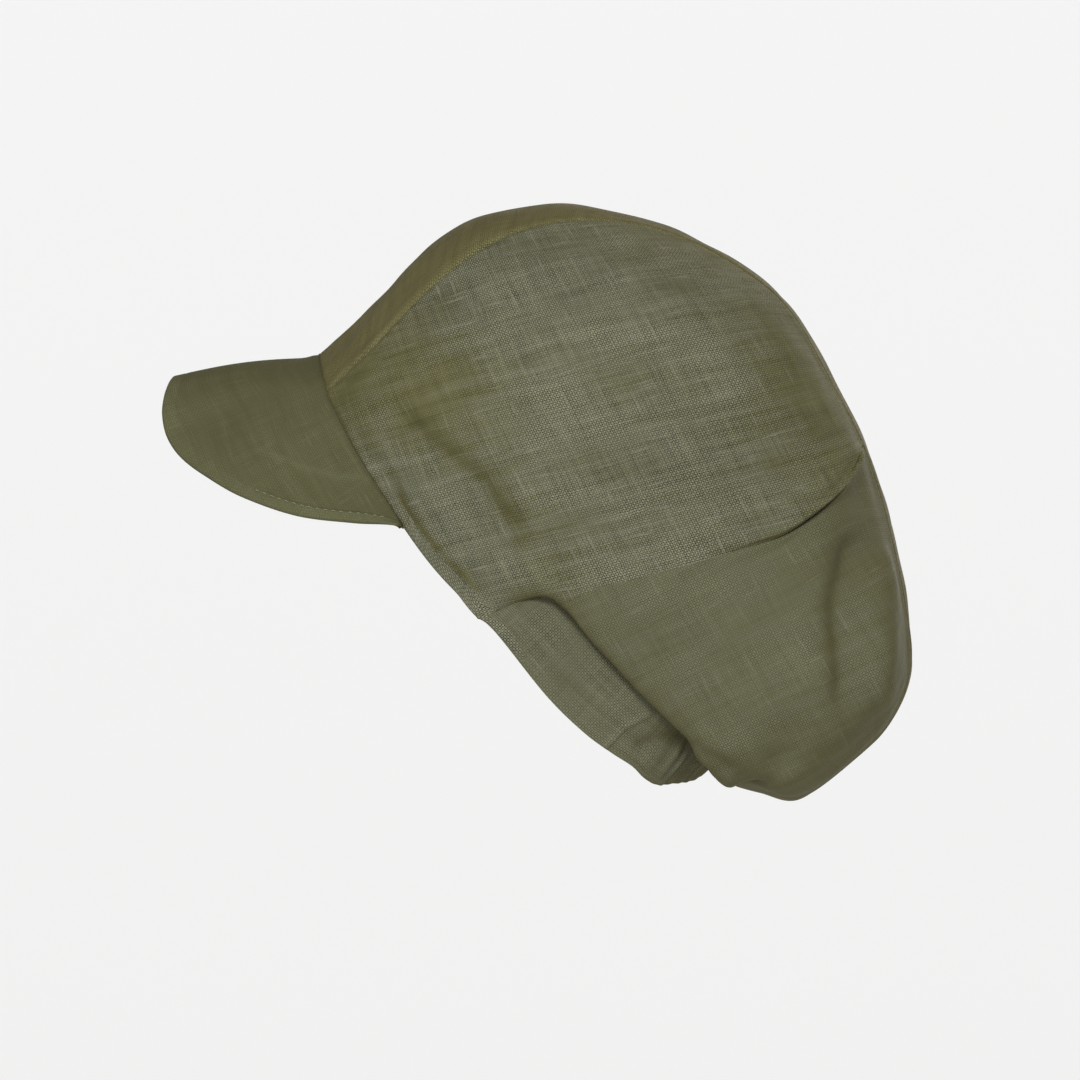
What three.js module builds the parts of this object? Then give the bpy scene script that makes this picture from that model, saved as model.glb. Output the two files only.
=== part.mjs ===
// Slouching linen cap with a visor, in millimetres.
// +Z is up as the cap is worn, -X is the front, -Y is the wearer's left side.
// The origin is the middle of the opening that the head goes into.
import * as THREE from 'three';
import { mergeVertices } from 'three/addons/utils/BufferGeometryUtils.js';

// Wall thicknesses
const CLOTH = 2.0; // one panel with its seam allowances
const BAND_WALL = 2.6; // doubled cloth round an elastic
const PEAK_WALL = 3.0; // two layers of cloth on a stiff sheet
const SEAM_GAP = 0.4; // clearance between two sewn pieces

// Fineness of the faceted walls
const SECTION_STEP = 0.5; // rows of the table between two sections
const FRONT_ROWS = 6; // the side panels begin within so many rows of the table
const NAPE_ROWS = 5; // and the back panels end within so many of its last
const NAPE_TIP = 12; // a back panel ends where it gets narrower than this
const CLOSEST = 0.15; // sections nearer than this to another are left out
const SEAM_STEPS = 12; // sections along the yoke seam down to where the cloth turns in
const TUCKED_STEPS = 3; // and from there to the sewn edge
const TURN_UNDER = 0.86; // share of a hoop at which the cloth turns in under itself
const SEAM_LEAN = 5; // rows of the table by which the tucked seam would run forward over a whole hoop
const FRONT_TIP = 0.05; // part of a row of the table by which the side panels stand off at their tips
const BACK_TIP = 0.15; // and the back panels
const BACK_SLANT = 3; // rows of the table by which a back panel's lower edge runs ahead
const SLANT_END = 18; // row of the table at which it no longer does
const PROFILE_STEPS = 400; // samples along one hoop
const CURVE_STEPS = 400; // samples along a curve that is shared out evenly
const NORMAL_STEP = 0.05; // rows of the table, and
const NORMAL_SHARE = 0.02; // share of a hoop, over which the cloth's slope is taken
const SIDE_ROWS = 9; // facets down a side panel
const BACK_ROWS = 8; // facets down a back panel
const TUCK_ROWS = 4; // facets where they turn under
const STRIP_ROWS = 6; // facets across the centre panel
const BAND_STEPS = 104; // facets along the band
const BAND_ROWS = 3;
const PEAK_STEPS = 28; // facets from one side of the visor to the other
const PEAK_ROWS = 5;

// Gathers of the elastic band, and the visor's arch
const GATHERS = 26;
const GATHER_DEPTH = 1.3;
const BAND_INSET = 1.0; // the band's face lies this far inside the crown's edge
const BAND_MIDDLE = new THREE.Vector3(20, 0, -10); // the gathers stand out from here
const BAND_START = 0.05; // rows of the table by which the band's ends lie back
const PEAK_ARCH = 2.0;

// Hoops of the crown, from the front of the opening over the top and round the back to the nape.
// top_x, top_z: where the hoop crosses the middle line
// sew_x, sew_z, sew_y: where it is sewn to the edge or to the band
// wide: greatest half width. high: how far up the hoop that is, from 0 to 1
// puff: 0 comes straight down to its edge, 1 turns in under itself
// drop, sag: how far it hangs over its sewn edge, along the head and straight down
// strip: half width of the centre panel along the cloth
const HOOP_COLUMNS = [
  'top_x', 'top_z', 'sew_x', 'sew_z', 'sew_y', 'wide', 'high', 'puff', 'drop', 'sag', 'strip',
];
const HOOPS = [
  [-82.1, 90.7, -82.1, 90.7, 0, 0, 0, 0, 0, 0, 50],
  [-76.1, 95.7, -80.4, 82.4, 26, 26, 0, 0, 0, 0, 50],
  [-67.5, 103.2, -76.5, 70.1, 41, 42, 0.05, 0, 0, 0, 51],
  [-53.3, 118.2, -67.5, 52.5, 55.5, 58, 0.2, 0, 0, 0, 57],
  [-34.0, 138.5, -53.3, 29.7, 67.5, 72, 0.3, 0, 0, 0, 59],
  [-10.3, 152.4, -37.4, 6.7, 74.5, 85, 0.36, 0, 0, 0, 54],
  [16.3, 156.1, -23.8, -8.9, 76.5, 96, 0.4, 0, 0, 0, 43],
  [44.3, 153.5, -11.9, -19.1, 77, 103, 0.42, 0.2, 1, 0, 33],
  [71.8, 145.8, 4.7, -14.2, 78, 107, 0.42, 0.5, 6, 0, 28],
  [98.5, 131.6, 24.1, -10.8, 79, 109, 0.42, 0.9, 11, 0, 27],
  [120.8, 113.1, 41.7, -27.5, 79, 110, 0.44, 1, 11, 0, 27],
  [138.9, 82.1, 54.6, -43.0, 78, 109, 0.46, 1, 10, 0, 27],
  [153.5, 52.5, 64.9, -53.8, 75, 107, 0.48, 1, 10, 0, 27],
  [163.4, 20.6, 72.7, -59.8, 70, 104, 0.5, 1, 10, 2, 27],
  [170.7, -12.5, 77.8, -63.2, 65, 100, 0.5, 1, 9, 5, 27],
  [173.4, -41.7, 82.1, -65.4, 60, 95, 0.5, 1, 10, 10, 27],
  [164.7, -65.4, 85.6, -66.7, 54, 89, 0.52, 1, 7, 15, 26],
  [146.6, -83.8, 88.6, -67.9, 47, 80, 0.6, 1, 4, 20, 26],
  [125.1, -98.9, 91.2, -68.8, 40, 68, 0.72, 1, 2, 20, 26],
  [108.8, -96.3, 94.2, -69.7, 31, 53, 0.8, 0.9, 1, 15, 26],
  [94.5, -91.0, 96.8, -70.1, 21, 36, 0.8, 0.8, 0, 8, 26],
  [96.5, -81.0, 98.9, -70.1, 10.5, 19, 0.7, 0.6, 0, 2, 26],
  [100.2, -69.7, 100.2, -69.7, 0, 0, 0.6, 0.5, 0, 0, 26],
];
const LAST = HOOPS.length - 1;
const ROUNDNESS = 2.05; // exponent of the hoops' upper half, 2 is an ellipse
const HANG_SCALE = 27 / 4; // makes the greatest value of r * r * (1 - r) one

// Up and back along the head, square to the opening
const OPENING_NORMAL = new THREE.Vector3(0.722, 0, 0.692).normalize();

// The band's lower edge, a row for each hoop from BAND_FIRST on
const BAND_FIRST = 7;
const BAND_COLUMNS = ['x', 'z', 'y'];
const BAND_EDGE = [
  [-14.5, -19.2, 77],
  [-8.2, -24.5, 78],
  [-2.1, -31.4, 78],
  [16.8, -55.0, 78],
  [32.7, -70.5, 76],
  [44.3, -79.1, 72],
  [52.9, -84.7, 67],
  [57.6, -89.4, 62],
  [61.5, -92.0, 57],
  [64.9, -92.9, 51],
  [67.9, -92.9, 45],
  [71.0, -92.7, 38],
  [74.4, -92.3, 30],
  [78.3, -92.0, 20],
  [81.3, -91.0, 10],
  [83.4, -89.8, 0],
];

// The visor's outer edge, from its middle to where it ends at the side
const PEAK_COLUMNS = ['x', 'z', 'y'];
const PEAK_EDGE = [
  [-144.6, 82.8, 0],
  [-146.2, 80.2, 11],
  [-148.0, 74.0, 20],
  [-148.4, 66.5, 28],
  [-146.2, 57.0, 34],
  [-140.2, 48.5, 42],
  [-129.5, 40.5, 51],
  [-113.5, 31.5, 61],
  [-90.0, 23.5, 69.5],
  [-66.0, 20.6, 73],
  [-47.0, 19.6, 73],
];
const PEAK_LAST_HOOP = 4.5; // the visor is sewn from the middle out to this hoop

// Seam between side and back panels, seen from the side
const YOKE_SEAM = [
  [157.4, 63.6], [151.4, 55.0], [146.6, 39.6], [133.7, 25.8], [117.0, 14.2],
  [89.4, 5.6], [56.8, -3.9], [24.1, -10.8], [13.3, -12.9],
];

const YOKE_ROWS = [7.5, 14]; // it lies between these rows of the table

// Folds seen from the side: depth is out of the cloth, negative is a dent
const FOLDS = [
  {
    name: 'temple dent', depth: -4, spread: 11,
    route: [[-41.7, 63.6], [-25.8, 49.9], [-9.5, 36.1], [1.7, 20.2], [6.5, -3.0]],
  },
  {
    name: 'back dent', depth: -5, spread: 8,
    route: [[148.3, 6.5], [143.2, -13.8], [144.1, -31.0], [144.5, -52.5]],
  },
  {
    name: 'back swell', depth: 3, spread: 8,
    route: [[159.5, 3.4], [158.7, -22.4], [156.1, -52.5]],
  },
  {
    name: 'seam swell', depth: 3, spread: 7,
    route: [[146.6, 48.6], [135.9, 35.7], [120.8, 24.1], [90.7, 12.0]],
  },
  {
    name: 'bag crease', depth: -2.5, spread: 7,
    route: [[73.1, -74.0], [85.6, -81.7], [98.0, -89.0]],
  },
];
const FOLDS_GROW = [30, 60]; // they grow between these distances from the middle line
const FOLDS_FADE = [0.82, 0.97]; // and fade between these shares of a hoop

/** Curve between b and d through four neighbouring values (Catmull-Rom), f from 0 to 1. */
function curveValue(a, b, d, e, f) {
  return b + 0.5 * f * (d - a + f * (2 * a - 5 * b + 4 * d - e + f * (3 * (b - d) + e - a)));
}

/**
 * Smooth curve through the rows of a table at a row number, as one value a column.
 * Past an end on the middle line the even columns are mirrored and the odd ones change sign.
 */
function readTable(rows, columns, at, { even, odd, middleEnds }) {
  const last = rows.length - 1;
  const place = Math.min(Math.max(at, 0), last);
  const i = Math.min(Math.floor(place), last - 1);
  const beyond = (end, next, onMiddle) => end.map((value, c) => {
    if (onMiddle && odd.includes(columns[c])) return -next[c];
    if (onMiddle && even.includes(columns[c])) return next[c];
    return 2 * value - next[c];
  });
  const before = i > 0 ? rows[i - 1] : beyond(rows[0], rows[1], true);
  const after = i + 2 <= last ? rows[i + 2] : beyond(rows[last], rows[last - 1], middleEnds === 2);
  return Object.fromEntries(columns.map((column, c) => (
    [column, curveValue(before[c], rows[i][c], rows[i + 1][c], after[c], place - i)]
  )));
}

/** Sizes of the hoop at a row number. */
function hoopRow(at) {
  return readTable(HOOPS, HOOP_COLUMNS, at, {
    even: ['sew_x', 'sew_z'], odd: ['sew_y', 'wide', 'drop', 'sag'], middleEnds: 2,
  });
}

const hoopStore = new Map();
/** One hoop, as points on its left half with their distances along the cloth from the middle line. */
function hoop(at) {
  if (hoopStore.has(at)) return hoopStore.get(at);
  const row = hoopRow(at);
  const sewY = Math.max(row.sew_y, 0);
  const wide = Math.max(row.wide, sewY);
  const high = Math.max(row.high, 0);
  const points = [];
  for (let i = 0; i <= PROFILE_STEPS; i += 1) {
    const q = (2 * i) / PROFILE_STEPS;
    let up;
    let out;
    let hang = 0;
    if (q <= 1) {
      const angle = (q * Math.PI) / 2;
      up = high + (1 - high) * Math.cos(angle) ** (2 / ROUNDNESS);
      out = wide * Math.sin(angle) ** (2 / ROUNDNESS);
    } else {
      const r = q - 1;
      const straight = 0.5 + 0.5 * Math.cos(Math.PI * r);
      const tucked = Math.cos((Math.PI * r) / 2);
      up = high * ((1 - row.puff) * (1 - r) + row.puff * (1 - Math.sin((Math.PI * r) / 2)));
      out = sewY + (wide - sewY) * ((1 - row.puff) * straight + row.puff * tucked);
      hang = HANG_SCALE * r * r * (1 - r);
    }
    points.push(new THREE.Vector3(
      row.sew_x + (row.top_x - row.sew_x) * up - OPENING_NORMAL.x * row.drop * hang,
      -out,
      row.sew_z + (row.top_z - row.sew_z) * up - (OPENING_NORMAL.z * row.drop + row.sag) * hang,
    ));
  }
  const along = [0];
  for (let i = 1; i < points.length; i += 1) {
    along.push(along[i - 1] + points[i].distanceTo(points[i - 1]));
  }
  const length = along[along.length - 1];
  const made = { points, along, length, strip: Math.min(row.strip / Math.max(length, 1e-6), 1) };
  hoopStore.set(at, made);
  return made;
}

/** Point of the smooth crown at a share of a hoop's half length, negative on the right. */
function smoothPoint(at, share) {
  const { points, along, length } = hoop(at);
  const wanted = Math.min(Math.abs(share), 1) * length;
  let i = 1;
  while (i < along.length - 1 && along[i] < wanted) i += 1;
  const span = along[i] - along[i - 1];
  const point = points[i - 1].clone().lerp(points[i], span > 0 ? (wanted - along[i - 1]) / span : 0);
  if (share < 0) point.y = -point.y;
  return point;
}

/** Outward normal of the smooth crown, from two short steps along it. */
function crownNormal(at, share) {
  const mid = Math.min(Math.max(at, NORMAL_STEP), LAST - NORMAL_STEP);
  const along = smoothPoint(mid + NORMAL_STEP, share).sub(smoothPoint(mid - NORMAL_STEP, share));
  const across = smoothPoint(mid, share + NORMAL_SHARE).sub(smoothPoint(mid, share - NORMAL_SHARE));
  return across.cross(along).normalize();
}

/** Distance from a side-view point to a route of straight lines. */
function routeDistance(route, x, z) {
  let least = Infinity;
  for (let i = 1; i < route.length; i += 1) {
    const [ax, az] = route[i - 1];
    const [bx, bz] = route[i];
    const t = ((x - ax) * (bx - ax) + (z - az) * (bz - az)) / ((bx - ax) ** 2 + (bz - az) ** 2);
    const share = Math.min(Math.max(t, 0), 1);
    least = Math.min(least, Math.hypot(x - ax - share * (bx - ax), z - az - share * (bz - az)));
  }
  return least;
}

/** How far the folds push the cloth out at a point; they fade towards the middle line and the sewn edge. */
function foldDepth(point, share) {
  const middle = THREE.MathUtils.smoothstep(Math.abs(point.y), ...FOLDS_GROW);
  const edge = 1 - THREE.MathUtils.smoothstep(Math.abs(share), ...FOLDS_FADE);
  const bells = FOLDS.map(({ depth, spread, route }) => {
    const away = routeDistance(route, point.x, point.z) / spread;
    return depth * Math.exp(-away * away);
  });
  return middle * edge * bells.reduce((sum, value) => sum + value, 0);
}

/** Outer and inner point of the crown's wall. */
function crownWall(at, share) {
  const outer = smoothPoint(at, share);
  const normal = crownNormal(at, share);
  outer.addScaledVector(normal, foldDepth(outer, share));
  return [outer, outer.clone().addScaledVector(normal, -CLOTH)];
}

/** Place between low and high where a test turns from false to true. */
function turningPoint(low, high, test) {
  let a = low;
  let b = high;
  for (let i = 0; i < 40; i += 1) {
    const mid = (a + b) / 2;
    if (test(mid)) b = mid;
    else a = mid;
  }
  return (a + b) / 2;
}

/** Height of the yoke seam at a length along the cap. */
function yokeHeight(x) {
  let i = 1;
  while (i < YOKE_SEAM.length - 1 && YOKE_SEAM[i][0] > x) i += 1;
  const [ax, az] = YOKE_SEAM[i - 1];
  const [bx, bz] = YOKE_SEAM[i];
  return az + ((x - ax) / (bx - ax)) * (bz - az);
}

/** Row number at which the yoke seam crosses a share of the hoops; it leans forward where they turn under. */
function yokeAt(share) {
  const crossing = turningPoint(...YOKE_ROWS, (at) => {
    const point = smoothPoint(at, Math.min(share, TURN_UNDER));
    return point.z < yokeHeight(point.x);
  });
  return crossing - SEAM_LEAN * Math.max(share - TURN_UNDER, 0);
}

/** Places evenly spaced along a curve, between two limits. */
function evenly(curve, from, to, count) {
  const places = [];
  const along = [];
  for (let i = 0; i <= CURVE_STEPS; i += 1) {
    places.push(from + ((to - from) * i) / CURVE_STEPS);
    along.push(i ? along[i - 1] + curve(places[i]).distanceTo(curve(places[i - 1])) : 0);
  }
  const spaced = [];
  let i = 1;
  for (let j = 0; j <= count; j += 1) {
    const wanted = (along[CURVE_STEPS] * j) / count;
    while (i < CURVE_STEPS && along[i] < wanted) i += 1;
    const share = (wanted - along[i - 1]) / (along[i] - along[i - 1]);
    spaced.push(places[i - 1] + share * (places[i] - places[i - 1]));
  }
  return spaced;
}

// Where the panels begin and end
const stripShare = (at) => hoop(at).strip;
const besideWidth = (at) => hoop(at).length * (1 - stripShare(at));
const sideFrom = turningPoint(0, FRONT_ROWS, (at) => besideWidth(at) > SEAM_GAP);
const stripAgain = turningPoint(LAST - NAPE_ROWS, LAST, (at) => besideWidth(at) < NAPE_TIP);
const yokeTop = turningPoint(0, 1, (share) => {
  const at = yokeAt(share);
  return (share - stripShare(at)) * hoop(at).length > SEAM_GAP;
});
const seamCurve = (share) => smoothPoint(yokeAt(share), share);
const yoke = [
  ...evenly(seamCurve, 1, TURN_UNDER, TUCKED_STEPS),
  ...evenly(seamCurve, TURN_UNDER, yokeTop, SEAM_STEPS).slice(1),
].map((share) => ({ at: yokeAt(share), share }));
const yokeEnd = yoke.length - 1;
const yokeFrom = yoke[0].at;
const yokeTo = yoke[yokeEnd].at;

/** Row number that goes evenly from one to another along the yoke seam. */
function alongSeam(from, to, i) {
  return from + ((to - from) * i) / yokeEnd;
}

/** Row numbers between two limits, both included. */
function stationsBetween(from, to) {
  const between = [];
  for (let at = 0; at <= LAST; at += SECTION_STEP) {
    if (at > from + CLOSEST && at < to - CLOSEST) between.push(at);
  }
  return [from, ...between, to];
}

const frontStations = stationsBetween(sideFrom, yokeFrom);
const backStations = stationsBetween(yokeTo, stripAgain).slice(1);
const seamStations = yoke.map((_, i) => alongSeam(yokeFrom, yokeTo, i));

/** Closed wall from a grid of [outer, inner] point pairs. */
function wall(grid, name, material, flip) {
  const rows = grid.length;
  const columns = grid[0].length;
  const positions = [];
  const number = (i, j, inner) => (i * columns + j) * 2 + inner;
  grid.forEach((row) => row.forEach((pair) => pair.forEach((p) => positions.push(p.x, p.y, p.z))));
  const faces = [];
  const quad = (a, b, c, d) => {
    if (flip) faces.push([a, c, b], [a, d, c]);
    else faces.push([a, b, c], [a, c, d]);
  };
  for (let i = 0; i < rows - 1; i += 1) {
    for (let j = 0; j < columns - 1; j += 1) {
      quad(number(i, j, 0), number(i, j + 1, 0), number(i + 1, j + 1, 0), number(i + 1, j, 0));
      quad(number(i, j, 1), number(i + 1, j, 1), number(i + 1, j + 1, 1), number(i, j + 1, 1));
    }
  }
  for (let i = 0; i < rows - 1; i += 1) {
    const last = columns - 1;
    quad(number(i, 0, 0), number(i + 1, 0, 0), number(i + 1, 0, 1), number(i, 0, 1));
    quad(number(i, last, 0), number(i, last, 1), number(i + 1, last, 1), number(i + 1, last, 0));
  }
  for (let j = 0; j < columns - 1; j += 1) {
    const last = rows - 1;
    quad(number(0, j, 0), number(0, j, 1), number(0, j + 1, 1), number(0, j + 1, 0));
    quad(number(last, j, 0), number(last, j + 1, 0), number(last, j + 1, 1), number(last, j, 1));
  }
  const geometry = new THREE.BufferGeometry();
  geometry.setAttribute('position', new THREE.Float32BufferAttribute(positions, 3));
  geometry.setIndex(faces.flat());
  const merged = mergeVertices(geometry, 0.01);
  const kept = [];
  const index = merged.getIndex().array;
  for (let i = 0; i < index.length; i += 3) {
    const [a, b, c] = [index[i], index[i + 1], index[i + 2]];
    if (a !== b && b !== c && c !== a) kept.push(a, b, c);
  }
  merged.setIndex(kept);
  merged.computeVertexNormals();
  const mesh = new THREE.Mesh(merged, material);
  mesh.name = name;
  return mesh;
}

function linen(colour) {
  return new THREE.MeshStandardMaterial({ color: colour, roughness: 0.9, metalness: 0 });
}

/** Wall points through some places on the crown, in so many steps from each to the next. */
function rowThrough(places, steps, side) {
  const row = [crownWall(places[0].at, side * places[0].share)];
  steps.forEach((count, k) => {
    const [from, to] = [places[k], places[k + 1]];
    for (let j = 1; j <= count; j += 1) {
      const at = from.at + ((to.at - from.at) * j) / count;
      const share = from.share + ((to.share - from.share) * j) / count;
      row.push(crownWall(at, side * share));
    }
  });
  return row;
}

/** Place on a hoop beside the centre panel's edge, half a gap outside it or, negative, inside it. */
function besideStrip(at, outside) {
  return { at, share: stripShare(at) + (outside * SEAM_GAP) / 2 / hoop(at).length };
}

/** Wall point on the yoke seam, moved up from it by half a gap or, negative, down. */
function besideYoke(i, side, up) {
  const before = yoke[Math.max(i - 1, 0)];
  const after = yoke[Math.min(i + 1, yokeEnd)];
  const along = smoothPoint(after.at, side * after.share).sub(smoothPoint(before.at, side * before.share));
  const across = along.cross(crownNormal(yoke[i].at, side * yoke[i].share)).normalize();
  const shift = (Math.sign(across.z) * up * SEAM_GAP) / 2;
  return crownWall(yoke[i].at, side * yoke[i].share).map((point) => point.addScaledVector(across, shift));
}

/** The strip from the visor over the top to the nape. */
function centrePanel() {
  const whole = (at) => ({ at, share: stripShare(at) });
  const parted = (at) => besideStrip(at, -1);
  const sections = [
    ...stationsBetween(0, sideFrom).slice(0, -1).map(whole),
    ...[...frontStations, ...seamStations.slice(1), ...backStations].map(parted),
    ...stationsBetween(stripAgain, LAST).slice(1).map(whole),
  ];
  const grid = sections.map(({ at, share }) => (
    rowThrough([{ at, share }, { at, share: -share }], [STRIP_ROWS], 1)
  ));
  return wall(grid, 'centre_panel', linen(0x625d40), true);
}

/** A side panel; side is 1 on the left and -1 on the right. */
function sidePanel(side, name) {
  const columns = [SIDE_ROWS, TUCK_ROWS];
  const front = frontStations.slice(0, -1).map((at) => {
    const start = besideStrip(at, 1);
    const turn = { at, share: Math.max(TURN_UNDER, start.share) };
    return rowThrough([start, turn, { at, share: 1 }], columns, side);
  });
  const tip = besideStrip(sideFrom + FRONT_TIP, 1);
  front[0].fill(crownWall(tip.at, side * tip.share));
  const seam = yoke.map((end, i) => {
    const start = besideStrip(seamStations[i], 1);
    const done = Math.min((TURN_UNDER - start.share) / (end.share - start.share), 1);
    const turn = { at: start.at + (end.at - start.at) * done, share: Math.min(TURN_UNDER, end.share) };
    const row = rowThrough([start, turn, end], columns, side);
    row[row.length - 1] = besideYoke(i, side, 1);
    if (done === 1) row.fill(row[row.length - 1], i === yokeEnd ? 0 : SIDE_ROWS);
    return row;
  });
  return wall([...front, ...seam], name, linen(0x69684f), side < 0);
}

/** A back panel, below the yoke seam. */
function backPanel(side, name) {
  const slantEnd = yokeTo + BACK_SLANT;
  const rowDown = (start, below) => {
    const done = Math.max((TURN_UNDER - start.share) / (1 - start.share || 1), 0);
    const turn = { at: start.at + (below - start.at) * done, share: Math.max(TURN_UNDER, start.share) };
    return rowThrough([start, turn, { at: below, share: 1 }], [BACK_ROWS, TUCK_ROWS], side);
  };
  const seam = yoke.map((start, i) => {
    const row = rowDown(start, alongSeam(yokeFrom, slantEnd, i));
    row[0] = besideYoke(i, side, -1);
    if (start.share >= TURN_UNDER) row.fill(row[0], 0, BACK_ROWS + 1);
    if (i === 0) row.fill(row[0]);
    return row;
  });
  const back = [...backStations.slice(0, -1), stripAgain - BACK_TIP].map((at) => {
    const left = Math.max((SLANT_END - at) / (SLANT_END - yokeTo), 0);
    return rowDown(besideStrip(at, 1), at + BACK_SLANT * left);
  });
  return wall([...seam, ...back], name, linen(0x62624a), side < 0);
}

/** Grid of outer points turned into pairs, the inner ones a wall's thickness behind. */
function thicken(points, thickness, flip) {
  const rows = points.length;
  const columns = points[0].length;
  return points.map((row, i) => row.map((point, j) => {
    const down = points[Math.min(i + 1, rows - 1)][j].clone().sub(points[Math.max(i - 1, 0)][j]);
    const across = row[Math.min(j + 1, columns - 1)].clone().sub(row[Math.max(j - 1, 0)]);
    const normal = down.cross(across).normalize().multiplyScalar(flip ? thickness : -thickness);
    return [point, point.clone().add(normal)];
  }));
}

/** Where a hoop is sewn down, on the left for side 1 and on the right for -1. */
function sewnPoint(at, side) {
  const row = hoopRow(at);
  return new THREE.Vector3(row.sew_x, -side * Math.max(row.sew_y, 0), row.sew_z);
}

/** A table's curve from the middle line outwards, carried on to the other side for negative places. */
function mirrored(rows, columns, place) {
  const row = readTable(rows, columns, Math.abs(place), { even: ['x', 'z'], odd: ['y'], middleEnds: 1 });
  return new THREE.Vector3(row.x, -Math.sign(place) * row.y, row.z);
}

/** The gathered band from the left side round the nape to the right. */
function backBand() {
  const turn = LAST - BAND_FIRST;
  const edge = [...BAND_EDGE].reverse();
  const lower = (place) => mirrored(edge, BAND_COLUMNS, place);
  const upper = (place) => sewnPoint(LAST - Math.abs(place), Math.sign(place) || 1)
    .addScaledVector(OPENING_NORMAL, -SEAM_GAP);
  const places = evenly(upper, turn - BAND_START, BAND_START - turn, BAND_STEPS);
  const points = places.map((place, i) => {
    const share = i / BAND_STEPS;
    const gather = GATHER_DEPTH * Math.sin(Math.PI * share) * Math.cos(2 * Math.PI * GATHERS * share);
    const row = [];
    for (let j = 0; j <= BAND_ROWS; j += 1) {
      const down = j / BAND_ROWS;
      const point = upper(place).lerp(lower(place), down);
      const outwards = point.clone().sub(BAND_MIDDLE);
      outwards.addScaledVector(OPENING_NORMAL, -outwards.dot(OPENING_NORMAL)).normalize();
      row.push(point.addScaledVector(outwards, gather * Math.sin(Math.PI * down) - BAND_INSET));
    }
    return row;
  });
  return wall(thicken(points, BAND_WALL, true), 'back_band', linen(0x62614b), false);
}

/** The visor: straight lines from the crown's front edge to its own edge, a little arched. */
function peak() {
  const inner = (place) => sewnPoint(Math.abs(place), Math.sign(place) || 1)
    .addScaledVector(OPENING_NORMAL, -SEAM_GAP);
  const outer = (place) => mirrored(PEAK_EDGE, PEAK_COLUMNS, place);
  const inside = evenly(inner, PEAK_LAST_HOOP, -PEAK_LAST_HOOP, PEAK_STEPS);
  const outside = evenly(outer, PEAK_EDGE.length - 1, 1 - PEAK_EDGE.length, PEAK_STEPS);
  const points = inside.map((place, i) => {
    const row = [];
    for (let j = 0; j <= PEAK_ROWS; j += 1) {
      const share = j / PEAK_ROWS;
      const point = inner(place).lerp(outer(outside[i]), share);
      point.z += PEAK_ARCH * Math.sin(Math.PI * share) * Math.sin((Math.PI * i) / PEAK_STEPS);
      row.push(point);
    }
    return row;
  });
  return wall(thicken(points, PEAK_WALL, false), 'peak', linen(0x5c5a3f), true);
}

const cap = new THREE.Group();
cap.name = 'cap';
cap.add(centrePanel());
cap.add(sidePanel(1, 'left_side_panel'));
cap.add(sidePanel(-1, 'right_side_panel'));
cap.add(backPanel(1, 'left_back_panel'));
cap.add(backPanel(-1, 'right_back_panel'));
cap.add(backBand());
cap.add(peak());
export default cap;
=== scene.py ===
import bpy
import numpy as np
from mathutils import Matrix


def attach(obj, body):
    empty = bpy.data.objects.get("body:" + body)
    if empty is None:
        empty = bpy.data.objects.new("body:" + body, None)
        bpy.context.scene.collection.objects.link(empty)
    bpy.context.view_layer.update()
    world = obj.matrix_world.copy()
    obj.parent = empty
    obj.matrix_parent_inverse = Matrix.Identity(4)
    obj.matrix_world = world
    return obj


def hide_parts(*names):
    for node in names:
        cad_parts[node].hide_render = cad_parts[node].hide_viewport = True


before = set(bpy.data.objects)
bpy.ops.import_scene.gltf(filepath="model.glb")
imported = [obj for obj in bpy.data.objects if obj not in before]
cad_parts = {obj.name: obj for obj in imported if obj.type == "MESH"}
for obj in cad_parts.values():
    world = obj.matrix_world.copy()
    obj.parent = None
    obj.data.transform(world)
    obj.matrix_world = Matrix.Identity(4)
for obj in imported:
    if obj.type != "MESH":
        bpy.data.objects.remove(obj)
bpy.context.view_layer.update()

print("nodes:", ", ".join(sorted(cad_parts)))

# %% [markdown]
# # A slouching linen cap
# This lesson dresses the solids of a cap in cloth. The real cap is sewn from flat pieces of plain-woven
# linen: a strip that runs from the visor over the top to the nape, a large panel on each side, a smaller
# panel below each of those at the back, an elastic band at the nape and a stiff visor. The cloth is full
# of slubs, the thick places that linen yarn has, and they show as pale dashes along both sets of threads.
#
# We work in millimetres, as a cutter does, and turn them into metres only when a mesh is made. +Z is up
# as the cap is worn, -X is the front and -Y is the wearer's left side.

# %% Names for units and places
MM = 0.001
RNG = np.random.default_rng(7)

# %% [markdown]
# ## Camera, light and floor
# The photograph looks squarely at the left side from far away, so the camera is level and has a very long
# lens. A curved sheet of pale paper is both floor and backdrop, and large soft lights leave hardly any
# shadow. Light from beside the camera is a little cool and light from behind and above a little warm,
# which gives linen its greenish grey on the near side and its olive brown where it turns away.
# The cloth's colour paints the same again: greenish grey where it faces sideways and olive brown where it
# turns away.

# %% Camera
PHOTO_SIDE = 464.4 * MM  # what the square photograph covers at the cap
PHOTO_MIDDLE = (13.33 * MM, 12.04 * MM)  # X and Z in the middle of it
CAMERA_DISTANCE = 6.0
SENSOR = 36.0

camera_data = bpy.data.cameras.new("camera")
camera_data.sensor_width = SENSOR
camera_data.lens = SENSOR * CAMERA_DISTANCE / PHOTO_SIDE
camera_data.clip_end = 60.0
camera = bpy.data.objects.new("camera", camera_data)
camera.location = (PHOTO_MIDDLE[0], -CAMERA_DISTANCE, PHOTO_MIDDLE[1])
camera.rotation_euler = (np.pi / 2, 0, 0)
bpy.context.collection.objects.link(camera)
bpy.context.scene.camera = camera
print("lens", round(camera_data.lens), "mm")

# %% Lights
bpy.context.scene.view_settings.view_transform = "Standard"
world = bpy.data.worlds.new("studio")
world.use_nodes = True
world.node_tree.nodes["Background"].inputs["Color"].default_value = (1.0, 0.98, 0.94, 1)
world.node_tree.nodes["Background"].inputs["Strength"].default_value = 0.42
bpy.context.scene.world = world


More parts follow.
